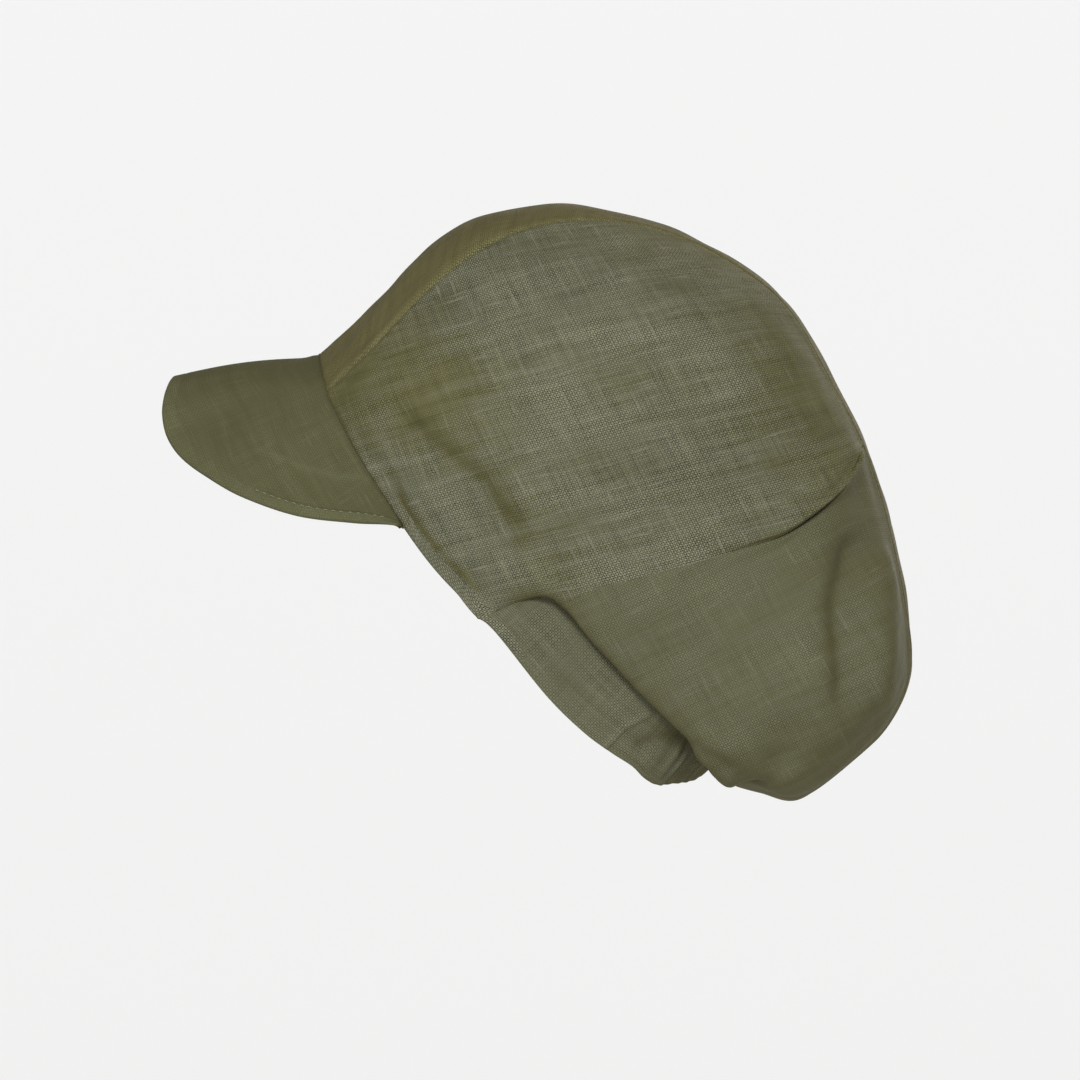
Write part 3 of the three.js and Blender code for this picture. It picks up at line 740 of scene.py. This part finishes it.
def centre_piece():
    """Rows from the left edge to the right one; the cloth runs lengthwise along the middle line."""
    at = np.linspace(0.03, LAST - 0.03, STRIP_HOOPS)
    whole = (at < side_from) | (at > back_to)
    share = np.where(whole, 1.0, strip_at(at))
    points, normal, shares = panel_grid((at, share), (at, -share), 1, STRIP_COLUMNS)
    along = distance_along(crown(at, np.zeros_like(at)))[:, None] + 0 * shares
    across = shares * length_at(at)[:, None]
    cloth = np.stack([across, along], axis=2) * MM
    piece = give_thickness(grid_mesh("linen_strip", points, cloth, normal), CLOTH_WALL)
    return finish_piece(piece, "centre_panel", "centre_linen")


centre_piece()

# %% [markdown]
# ## Side and back panels
# The side panel reaches from the strip down to the front edge, to the band and, further back, to the
# yoke seam, where its lower edge hangs a little over the back panel. Weft rises towards the back.

# %% Side panels
SIDE_HOOPS = 170
SIDE_COLUMNS = 121
OVERHANG = 2.0  # how far the side panel stands out beside the yoke seam, in mm
OVERHANG_WIDTH = 3.5
SHARP_FROM = (85, 128)  # the yoke seam gets sharp between these x, in mm
SHARP_BESIDE = (30, 60)  # the same for its distance from the middle line
HEM = 7.0  # width of the hem along the front edge, in mm
HEM_STARTS = (PEAK_LAST_HOOP - 0.3, PEAK_LAST_HOOP)  # hoops between which the hem's groove starts
HEM_ENDS = (6.2, 7.8)
VALLEY_ENDS = (6.2, 7.4)  # the same for the painted shade in the valley beside the hem
FLUSH = (5.6, 7.0)  # hoops between which the edge stops rolling in, above the band


def hem_line(distance):
    """A groove where the hem is stitched down, and the cloth puffing out above it."""
    return 0.9 * bell(distance - 2 * HEM, 5) - 0.7 * bell(distance - HEM, 2.2)


def sharpness(points):
    """1 at the side of the back, where the yoke seam is sharp and the side panel hangs over it."""
    return smooth_step(*SHARP_FROM, points[..., 0]) * smooth_step(*SHARP_BESIDE, np.abs(points[..., 1]))


def seam_strength(points):
    """How deep the cloth dips into the yoke seam: all over at the back, and little forward of that."""
    return 1 - 0.75 * (smooth_step(*SHARP_BESIDE, np.abs(points[..., 1])) - sharpness(points))


def seam_lip(points, distance):
    """The edge stands out beside the seam and rolls under, where the seam is sharp."""
    rolled = bell(distance - 2.5, OVERHANG_WIDTH) * smooth_step(0, 1.6, distance)
    return OVERHANG * sharpness(points) * rolled


def side_piece(side, name, node):
    front = np.linspace(side_from, yoke_row[0], SIDE_HOOPS)[:-1]
    at = np.concatenate([front, seam_rows])
    start = (at, strip_at(at))
    end = (np.concatenate([front, yoke_row]), np.concatenate([np.ones_like(front), yoke_share]))
    on_yoke = np.concatenate([np.zeros(len(front)), np.ones(len(seam_rows))])[:, None]

    def on_hem(at, ends):
        return (1 - on_yoke) * smooth_step(*HEM_STARTS, at) * (1 - smooth_step(*ends, at))

    def height(points, at, from_start, from_end):
        flush = 1 - (1 - on_yoke) * smooth_step(*FLUSH, at)
        lower = seam_roll(from_end) * flush * (1 - on_yoke * (1 - seam_strength(points)))
        lower += on_yoke * seam_lip(points, from_end) + on_hem(at, HEM_ENDS) * hem_line(from_end)
        return seam_roll(from_start) + lower

    points, normal, _ = panel_grid(start, end, side, SIDE_COLUMNS, height)
    cloth = spread_out(points, (45, -side * 104, 55), (side, 0, 0), (0, 0, 1), side * 15, -side * 64)
    # Painted light and shade in the panel's tone: paler towards the top and along the swell before the
    # temple, darker on a patch at the upper front and in the valley beside the hem.
    painted_highlight = 0.35 * smooth_step(75, 125, points[..., 2])
    painted_highlight += 0.2 * bell(route_distance(FOLDS[1][2], points), 9)
    shaded = 0.3 * bell(points[..., 0] + 40, 32) * bell(points[..., 2] - 80, 32)
    _, from_edge = row_distances(points)
    valley = 0.35 * on_hem(at[:, None], VALLEY_ENDS) * bell(from_edge - HEM - 2.0, 2.5)
    return panel_piece(name, node, "side_linen", (points, normal, cloth, painted_highlight - shaded - valley))


side_piece(1, "linen_side_left", "left_side_panel")
side_piece(-1, "linen_side_right", "right_side_panel")

# %% Back panels
BACK_HOOPS = 130
BACK_COLUMNS = 101
SUNK = 1.2  # how far the back panel lies in under the side panel's edge, in mm
SUNK_REACH = 6
BAND_FLUSH = (8.0, 9.5)  # hoops between which its lower edge starts to roll in above the band


def back_piece(side, name, node):
    along = np.linspace(yoke_row[-1], back_to, BACK_HOOPS)[1:]
    left = np.maximum((SLANT_END - along) / (SLANT_END - yoke_row[-1]), 0)
    below = np.linspace(yoke_row[0], yoke_row[-1] + BACK_SLANT, len(yoke_row))
    start = (np.concatenate([yoke_row, along]), np.concatenate([yoke_share, strip_at(along)]))
    end = (np.concatenate([below, along + BACK_SLANT * left]), np.ones(len(yoke_row) + len(along)))
    on_yoke = np.concatenate([np.ones(len(yoke_row)), np.zeros(len(along))])[:, None]

    def height(points, at, from_start, from_end):
        upper = seam_roll(from_start) * (1 - on_yoke * (1 - seam_strength(points)))
        lower = seam_roll(from_end) * smooth_step(*BAND_FLUSH, at)
        return upper + lower - SUNK * on_yoke * sharpness(points) * np.exp(-from_start / SUNK_REACH)

    points, normal, share = panel_grid(start, end, side, BACK_COLUMNS, height)
    cloth = spread_out(points, (115, -side * 85, -25), (side, 0, 0), (0, 0, 1), side * 26, -side * 60)
    return panel_piece(name, node, "back_linen", (points, normal, cloth, 0 * share))


back_piece(1, "linen_back_left", "left_back_panel")
back_piece(-1, "linen_back_right", "right_back_panel")

# %% [markdown]
# ## Elastic band
# The band is a strip of linen folded round an elastic tape. It lies smooth in front and is gathered
# towards the nape, where the elastic pulls it together.

# %% Elastic band
BAND_EDGE = np.array([
    [-14.5, -19.2, 77], [-8.2, -24.5, 78], [-2.1, -31.4, 78], [16.8, -55.0, 78],
    [32.7, -70.5, 76], [44.3, -79.1, 72], [52.9, -84.7, 67], [57.6, -89.4, 62],
    [61.5, -92.0, 57], [64.9, -92.9, 51], [67.9, -92.9, 45], [71.0, -92.7, 38],
    [74.4, -92.3, 30], [78.3, -92.0, 20], [81.3, -91.0, 10], [83.4, -89.8, 0],
])  # x, z and y of the lower edge in mm, a row for each hoop from BAND_FIRST on
BAND_FIRST = 7
BAND_MIDDLE = np.array([20, 0, -10])
BAND_WALL = 2.6
BAND_INSET = 1.0
BAND_TUCK = 6.0  # it reaches so far up inside the crown
BAND_TUCK_INSET = 2.2
BAND_INSET_ENDS = (12.5, 14.0)  # hoops from the nape between which the inset ends, at the front
GATHERS = 37
GATHER_DEPTH = 1.2
GATHERS_FADE = (4.5, 9.8)  # hoops from the nape between which the gathers get shallow
# puckers seen from the side: height in mm, spread in mm, route of x and z in mm
BAND_PUCKERS = [
    (0.9, 1.3, [[42.1, -76.1], [49.9, -67.1], [59.3, -62.4]]),
    (1.0, 1.5, [[64.9, -91.2], [73.1, -80.8]]),
    (-1.8, 4.0, [[58.0, -76.5], [66.0, -74.5], [75.0, -71.8]]),
]
BAND_HOOPS = 900
BAND_COLUMNS = 30


def out_of_band(points):
    """Directions away from the middle of the opening, square to the way the head goes in."""
    away = points - BAND_MIDDLE
    return unit(away - (away @ OPENING_NORMAL)[..., None] * OPENING_NORMAL)


def sewn_edge(place):
    """Where hoops are sewn down, on the right side for negative places."""
    row = read_table(HOOPS, np.abs(place), HOOP_MIRROR)
    return np.stack([row[:, 2], -np.sign(place) * np.maximum(row[:, 4], 0), row[:, 3]], axis=1)


def mirrored(table, place):
    """A curve from the middle line outwards, carried on to the other side for negative places."""
    row = read_table(table, np.abs(place), np.array([1, 1, -1]), middle_ends=1)
    return np.stack([row[:, 0], -np.sign(place) * row[:, 2], row[:, 1]], axis=1)


def band_piece():
    """Straight from the crown's edge to the band's own; pleats are waves that grow to the nape."""
    turn = LAST - BAND_FIRST

    def upper(place):
        # hoops count from the front, places on the band from the nape
        side = np.where(place < 0, -1.0, 1.0)
        return sewn_edge(side * (LAST - np.abs(place)))

    place = evenly(upper, turn, -turn, BAND_HOOPS)
    top = upper(place)
    bottom = mirrored(BAND_EDGE[::-1], place)
    # 0 at the crown's edge and 1 at the band's own; two columns below 0 go up inside the crown
    down = 0.5 - 0.5 * np.cos(np.linspace(0, np.pi, BAND_COLUMNS))
    down = np.concatenate([[-0.2, -0.1], down])[None]
    tucked = np.maximum(-down, 0) / 0.2
    points = top[:, None] + (bottom - top)[:, None] * np.maximum(down, 0)[..., None]
    points = points + tucked[..., None] * BAND_TUCK * OPENING_NORMAL
    away = out_of_band(points)
    share = np.linspace(0, 1, BAND_HOOPS + 1)[:, None]
    to_nape = 1 - smooth_step(*GATHERS_FADE, np.abs(place))[:, None]
    uneven = 1.3 * np.sin(2 * np.pi * 5.3 * share + 0.7) + 0.8 * np.sin(2 * np.pi * 11.7 * share)
    wave = np.cos(2 * np.pi * GATHERS * share + uneven)
    bulge = np.sin(np.pi * np.maximum(down, 0))
    lift = GATHER_DEPTH * to_nape * wave * (0.15 + 0.6 * bulge + 0.25 * np.minimum(1 - down, 1))
    lift += 0.7 * bulge + 0.5 * ripples(points) - BAND_TUCK_INSET * tucked
    at_side = smooth_step(15, 35, np.abs(points[..., 1]))
    paler = np.zeros(points.shape[:2])
    for height, spread, route in BAND_PUCKERS:
        pucker = at_side * bell(route_distance(route, points), spread)
        lift += height * pucker
        # Painted highlight: the raised puckers are paler.
        paler += 0.45 * max(height, 0) * pucker
    inset = BAND_INSET * (1 - smooth_step(*BAND_INSET_ENDS, np.abs(place)))[:, None]
    points += away * (lift - inset)[..., None]
    along = distance_along(top)[:, None] + 0 * down
    _, left = row_distances(points)
    cloth = np.stack([along, left], axis=2) * MM
    piece = give_thickness(grid_mesh("linen_band", points, cloth, away, paler), BAND_WALL)
    return finish_piece(piece, "back_band", "band_linen")


band_piece()

# %% [markdown]
# ## Visor
# A stiff sheet covered with linen, with a narrow edge band stitched on all round. It is built as one
# closed skin: over the top to the edge, round the edge and back underneath.

# %% Visor
PEAK_EDGE = np.array([
    [-144.6, 82.8, 0], [-146.2, 80.2, 11], [-148.0, 74.0, 20], [-148.4, 66.5, 28],
    [-146.2, 57.0, 34], [-140.2, 48.5, 42], [-129.5, 40.5, 51], [-113.5, 31.5, 61],
    [-90.0, 23.5, 69.5], [-66.0, 20.6, 73], [-47.0, 19.6, 73],
])  # x, z and y of its outer edge in mm, from its middle to where it ends at the side
PEAK_WALL = 3.0
PEAK_ARCH = 2.0
# the flange inside the crown: how deep in and how far up its lines lie, in mm
FLANGE = [(3.0, 7.0), (2.7, 3.5), (1.6, 0.35)]
THIN = (2, 16)  # the visor gets thin between these distances from its edge, in mm
EDGE_INSET = 1.2  # the round edge stands out so far
EDGE_RAISED = 0.35
EDGE_BAND = 5.2  # width of the stitched edge band, in mm
BAND_SHOWS = (-128, -82)  # the band shows from the first of these x on, and fully at the second
VISOR_CREASE = [[-104.9, 50.7], [-89.0, 44.3], [-73.5, 40.0], [-59.8, 39.1]]  # x and z, in mm
ROOT_RISE = 1.2  # the seam allowances lift the visor beside the crown, in mm
PEAK_LINES = 420
PEAK_COLUMNS = 90


def visor_top():
    """The upper face, from left to right: a flange inside the crown, then out to the edge.

    Gives its points, its normals and how far each point is from the edge.
    """
    inside = evenly(sewn_edge, PEAK_LAST_HOOP, -PEAK_LAST_HOOP, PEAK_LINES)
    outer = lambda place: mirrored(PEAK_EDGE, place)
    outside = evenly(outer, len(PEAK_EDGE) - 1.0, 1.0 - len(PEAK_EDGE), PEAK_LINES)
    sewn, rim = sewn_edge(inside), outer(outside)
    length = np.linalg.norm(rim - sewn, axis=1, keepdims=True)
    thin = smooth_step(*THIN, length)
    rim = rim + (sewn - rim) * np.minimum(EDGE_INSET * (0.3 + 0.7 * thin) / length, 0.4)
    t = np.linspace(0, 1, PEAK_COLUMNS)[None, :, None] ** 0.8
    points = sewn[:, None] * (1 - t) + rim[:, None] * t
    side = np.sin(np.linspace(0, np.pi, PEAK_LINES + 1))[:, None]
    points[..., 2] += PEAK_ARCH * np.sin(np.pi * t[..., 0]) * side
    points -= SEAM_GAP * OPENING_NORMAL
    at, sign = np.maximum(np.abs(inside), 0.6), np.where(inside < 0, -1, 1)
    up = unit(crown(at, 0.94 * sign) - crown(at, sign)) * smooth_step(0.2, 1.6, np.abs(inside))[:, None]
    inwards = -crown_normal(at, 0.98 * sign)
    flange = [sewn + depth * inwards + height * up for depth, height in FLANGE]
    top = np.concatenate([np.stack(flange, axis=1), points], axis=1)
    normal = grid_normals(top)
    return top, normal * np.sign(normal[..., 2].mean()), row_distances(top)[1]


def visor_piece():
    """Upper face, round edge and lower face as one skin, closed inside the crown and at both ends."""
    top, normal, to_edge = visor_top()
    sewn_to_edge = to_edge[:, len(FLANGE):len(FLANGE) + 1]
    sideways = smooth_step(*BAND_SHOWS, top[:, -1:, 0])  # 0 at the front, 1 towards the corners
    raised = EDGE_RAISED * sideways * (1 - smooth_step(EDGE_BAND - 0.5, EDGE_BAND + 0.3, to_edge))
    groove = (0.1 + 0.4 * sideways) * bell(to_edge - EDGE_BAND, 0.6)
    wall = PEAK_WALL * (0.35 + 0.65 * smooth_step(*THIN, sewn_to_edge))
    crease = route_distance(VISOR_CREASE, top)
    rise = ROOT_RISE * (1 - sideways) * bell(sewn_to_edge - to_edge, 4)
    fold = 0.35 * bell(crease, 1.5)
    upper = top + normal * (raised - groove + rise + fold)[..., None]
    lower = top - normal * (wall - 0.5 * groove)[..., None]
    outward = unit(top[:, -1] - top[:, -2])
    centre = (upper[:, -1] + lower[:, -1]) / 2
    radius = np.linalg.norm(upper[:, -1] - lower[:, -1], axis=1)[:, None, None] / 2
    turn = np.linspace(0, np.pi, 13)[1:-1][None, :, None]
    edge = centre[:, None] + radius * (
        np.cos(turn) * normal[:, -1:] + 0.8 * np.sin(turn) * outward[:, None])
    skin = np.concatenate([upper, edge, lower[:, ::-1], upper[:, :1]], axis=1)
    outwards = np.concatenate(
        [normal, 0 * edge + outward[:, None], -normal[:, ::-1], normal[:, :1]], axis=1)
    travelled, _ = row_distances(skin)
    across = distance_along(top[:, PEAK_COLUMNS // 2])[:, None] + 0 * travelled
    cloth = np.stack([across, travelled], axis=2) * MM
    # Tone: paler on the edge band and the round edge towards the corners, a painted highlight along the
    # crease and painted shade below it towards the corners.
    showing = 0.2 + 0.8 * sideways
    pale_band = showing * (1 - smooth_step(EDGE_BAND - 0.5, EDGE_BAND, to_edge))
    below = np.interp(top[..., 0], *np.array(VISOR_CREASE).T) - top[..., 2]
    pale_band += 0.3 * bell(crease, 1.8) - 0.12 * smooth_step(-2, 8, below) * sideways
    pale_edge = showing + np.zeros(edge.shape[:2])
    paler = np.concatenate([pale_band, pale_edge, 0 * pale_band, pale_band[:, :1]], axis=1)
    cloth, outwards, paler = (
        np.concatenate([grid[:1], grid, grid[-1:]]) for grid in (cloth, outwards, paler))
    # both ends close with a copy of the last row, drawn together to a fiftieth of its size
    middles = skin[[0, -1]].mean(axis=1, keepdims=True)
    closed = middles + (skin[[0, -1]] - middles) / 50
    skin = np.concatenate([closed[:1], skin, closed[1:]])
    piece = grid_mesh("linen_visor", skin, cloth, outwards, paler)
    return finish_piece(piece, "peak", "peak_linen")


visor_piece()

# %% [markdown]
# ## Hem
# The front edge is turned over twice and stitched, and the turned strip runs on a little way along the
# band, which hides where the band begins. It is drawn as a narrow ribbon: a profile wraps round the edge,
# lies on the cloth for the width of the hem and ends inside the wall.

# %% Hem
HEM_HOOPS = (4.35, 10.8)
HEM_GROWS = (4.35, 4.85)
HEM_SHRINKS = (8.8, 10.8)
ON_BAND = (6.5, 7.3)  # hoops between which the hem passes from the crown to the band
UP_BAND = (7.3, 8.2)  # hoops between which it turns to lie along the band's own rows
HEM_CORNER = 6.9  # near this hoop the hem's rim stands out a little, where it covers the crown's corner
HEM_ROWS = 260
# a, from the edge into the cloth, and b, out of the cloth, in mm
HEM_PROFILE = np.array([
    [2.6, -1.0], [2.2, -2.3], [1.0, -2.6], [0.2, -1.9], [0.1, -0.8], [0.5, 0.2],
    [1.5, 0.5], [3.5, 0.5], [5.6, 0.3], [6.7, -0.1], [7.1, -0.7], [7.2, -1.6],
])
HEM_COLUMNS = 60


def hem_frame(side, at):
    """The outer edge, the direction into the cloth and the one out of it, for each hoop number."""
    share = 1 - HEM / length_at(at)
    row = read_table(BAND_EDGE, np.maximum(at - BAND_FIRST, 0), np.zeros(3))
    low = np.stack([row[:, 0], -side * row[:, 2], row[:, 1]], axis=1)
    over = crown(at, side * np.ones_like(at))
    on_band = smooth_step(*ON_BAND, at)[:, None]
    edge = over * (1 - on_band) + low * on_band
    straight = smooth_step(*UP_BAND, at)[:, None]
    up_band = OPENING_NORMAL * (1 - straight) + unit(over - low) * straight
    into = unit((crown(at, side * share) - over) / HEM * (1 - on_band) + up_band * on_band)
    out = crown_normal(at, side * 0.98) * (1 - on_band) + out_of_band(edge) * on_band
    out = unit(out - np.sum(out * into, axis=1, keepdims=True) * into)
    inset = BAND_INSET * (1 - smooth_step(*BAND_INSET_ENDS, LAST - at))[:, None] * on_band
    return edge - out * inset, into, out


def hem_piece(side, name):
    """Rows along the edge; at both ends the profile shrinks into the middle of the wall."""
    at = np.linspace(*HEM_HOOPS, HEM_ROWS)
    edge, into, out = hem_frame(side, at)
    t = np.linspace(0, len(HEM_PROFILE) - 1, HEM_COLUMNS)
    profile = read_table(HEM_PROFILE, t, np.zeros(2))[None]
    there = (smooth_step(*HEM_GROWS, at) * (1 - smooth_step(*HEM_SHRINKS, at)))[:, None]
    corner = bell(at - HEM_CORNER, 0.5)[:, None] * (1 - smooth_step(0.5, 3.0, profile[..., 0]))
    a = profile[..., 0] + 1.5 * (1 - there) - 1.3 * corner
    b = profile[..., 1] * there - 1.2 * (1 - there)
    points = edge[:, None] + into[:, None] * a[..., None] + out[:, None] * b[..., None]
    points += out[:, None] * (0.5 * ripples(points) * smooth_step(*ON_BAND, at)[:, None])[..., None]
    centre = edge + into * 3 - out
    turned, _ = row_distances(points)
    cloth = np.stack([distance_along(edge)[:, None] + 0 * a, turned], axis=2) * MM
    piece = grid_mesh(name, points, cloth, points - centre[:, None], 0.28)
    return finish_piece(piece, "left_side_panel" if side > 0 else "right_side_panel", "side_linen")


hem_piece(1, "linen_hem_left")
hem_piece(-1, "linen_hem_right")

# %% [markdown]
# ## Stitches
# The visor's edge band and the hem are held by rows of stitches in pale thread. A stitch is a short grain
# of thread that dives into the cloth at both ends. It is drawn once and set along a path many times.

# %% Stitches
STITCH_RINGS = 7
STITCH_SIDES = 6
UNEVEN = 0.08  # how far a stitch may lie from its place, as a share of the pitch
HEM_STITCHES = (4.6, 8.6)  # hoops between which the hem's stitches run
STITCHES_FROM = -112  # x from which the visor's stitches show, in mm
STITCH_INSET = 1.3  # how far the visor's stitches lie from the inner side of its edge band


def thread_material():
    """Pale linen thread whose strands wind round it, drawn from the stitch's own coordinates."""
    material, shader, u, v = cloth_material("thread", 0.85, 0.2)
    twist = ((u / 0.0009 + v / 0.0011) * 2 * PI).sine() * 0.5 + 0.5
    uneven = u.noise(u / 0.002, v / 0.001, 2.0)
    colour = (twist * 0.5 + uneven * 0.5).mix(linear(96, 94, 72), linear(124, 122, 100))
    surface(shader, colour, twist, 0.1 * MM)
    return material


THREAD_MATERIAL = thread_material()


def stitches(name, path, out, node, slot_name, pitch, length, thick):
    """A stitch every pitch mm along a path of points; out holds the direction out of the cloth.

    Ring s of a stitch, from 0 to 1, lies at length * (s - 0.5) along it, thick * sin(pi * s) - thick / 2
    out of the cloth, and has the half width thick / 2 * sqrt(sin(pi * s)).
    """
    travelled = distance_along(path)
    places = np.arange(pitch / 2, travelled[-1], pitch)
    places = places + RNG.uniform(-UNEVEN, UNEVEN, len(places)) * pitch
    there = lambda line, shift: np.stack(
        [np.interp(places + shift, travelled, line[:, k]) for k in range(3)], axis=1)
    middle, outward = there(path, 0), there(out, 0)
    along = unit(there(path, 0.5) - there(path, -0.5))
    outward = unit(outward - np.sum(outward * along, axis=1, keepdims=True) * along)
    beside = np.cross(along, outward)
    s = np.linspace(0, 1, STITCH_RINGS)[None, :, None, None]
    angle = np.linspace(0, 2 * np.pi, STITCH_SIDES + 1)[None, None, :, None]
    radius = thick / 2 * np.sqrt(np.maximum(np.sin(np.pi * s), 0)) + 0.01
    place = lambda direction: direction[:, None, None, :]
    points = place(middle) + place(along) * length * (s - 0.5)
    points = points + place(outward) * (thick * np.sin(np.pi * s) - thick / 2 + radius * np.cos(angle))
    points = points + place(beside) * radius * np.sin(angle)
    cloth = np.stack(np.broadcast_arrays(length * s[..., 0], thick * angle[..., 0]), axis=3) * MM
    cloth = np.broadcast_to(cloth, points.shape[:3] + (2,))
    return finish_piece(quad_mesh(name, points, cloth), node, slot_name, THREAD_MATERIAL)


def hem_stitches(side, name, node):
    """A row on the hem, near its inner edge."""
    edge, into, out = hem_frame(side, np.linspace(*HEM_STITCHES, 200))
    path = edge + into * (HEM - 1.6) + out * 0.8
    return stitches(name, path, out, node, "side_linen", pitch=3.2, length=2.1, thick=0.4)


hem_stitches(1, "hem_stitches_left", "left_side_panel")
hem_stitches(-1, "hem_stitches_right", "right_side_panel")


def visor_stitches(side, name):
    """A row along the visor's edge band, on its upper face, where the band shows."""
    from_edge = EDGE_BAND - STITCH_INSET
    top, normal, to_edge = visor_top()
    raised = top + normal * (EDGE_RAISED + 0.12)
    wide = to_edge[:, len(FLANGE)] > from_edge + 3
    use = wide & (top[:, -1, 0] > STITCHES_FROM) & (side * top[:, -1, 1] < 0)

    def there(grid):
        return np.stack([[np.interp(-from_edge, -line, row[:, k]) for k in range(3)]
                         for line, row in zip(to_edge[use], grid[use])])

    sizes = {"pitch": 3.5, "length": 2.1, "thick": 0.55}
    return stitches(name, there(raised), there(normal), "peak", "peak_linen", **sizes)


visor_stitches(1, "visor_stitches_left")
visor_stitches(-1, "visor_stitches_right")

# %% [markdown]
# ## Floor and backdrop
# The studio is a round floor of pale paper that curves up into a wall all round, so that the cap has
# the same quiet background from every side.

# %% Floor and backdrop
FLOOR_HEIGHT = -0.5
FLOOR_RADIUS = 6.5
SWEEP_RADIUS = 1.5
WALL_TOP = 4.0
PAPER_TONE = 0.3
PAPER_GLOW = 0.68


def studio():
    """A profile turned about the upright axis: flat floor, a quarter circle, and a wall."""
    turn = np.linspace(0, np.pi / 2, 25)
    out = FLOOR_RADIUS + SWEEP_RADIUS * np.sin(turn)
    out = np.concatenate([[0.01], out, out[-1:]])
    rise = np.concatenate([[0], SWEEP_RADIUS * (1 - np.cos(turn)), [WALL_TOP]])
    round_about = np.linspace(0, 2 * np.pi, 97)[:, None]
    points = np.stack(np.broadcast_arrays(
        out * np.cos(round_about), out * np.sin(round_about), FLOOR_HEIGHT + rise), axis=2)
    paper = grid_mesh("paper", points / MM, points[..., :2], np.array([0, 0, 1]) - 0.2 * points)
    material = bpy.data.materials.new("paper")
    material.use_nodes = True
    shader = material.node_tree.nodes["Principled BSDF"]
    shader.inputs["Base Color"].default_value = (PAPER_TONE, PAPER_TONE, PAPER_TONE, 1)
    shader.inputs["Roughness"].default_value = 1.0
    shader.inputs["Specular IOR Level"].default_value = 0.0
    shader.inputs["Emission Color"].default_value = (1, 1, 1, 1)
    shader.inputs["Emission Strength"].default_value = PAPER_GLOW
    paper.data.materials.append(material)
    return paper


studio()
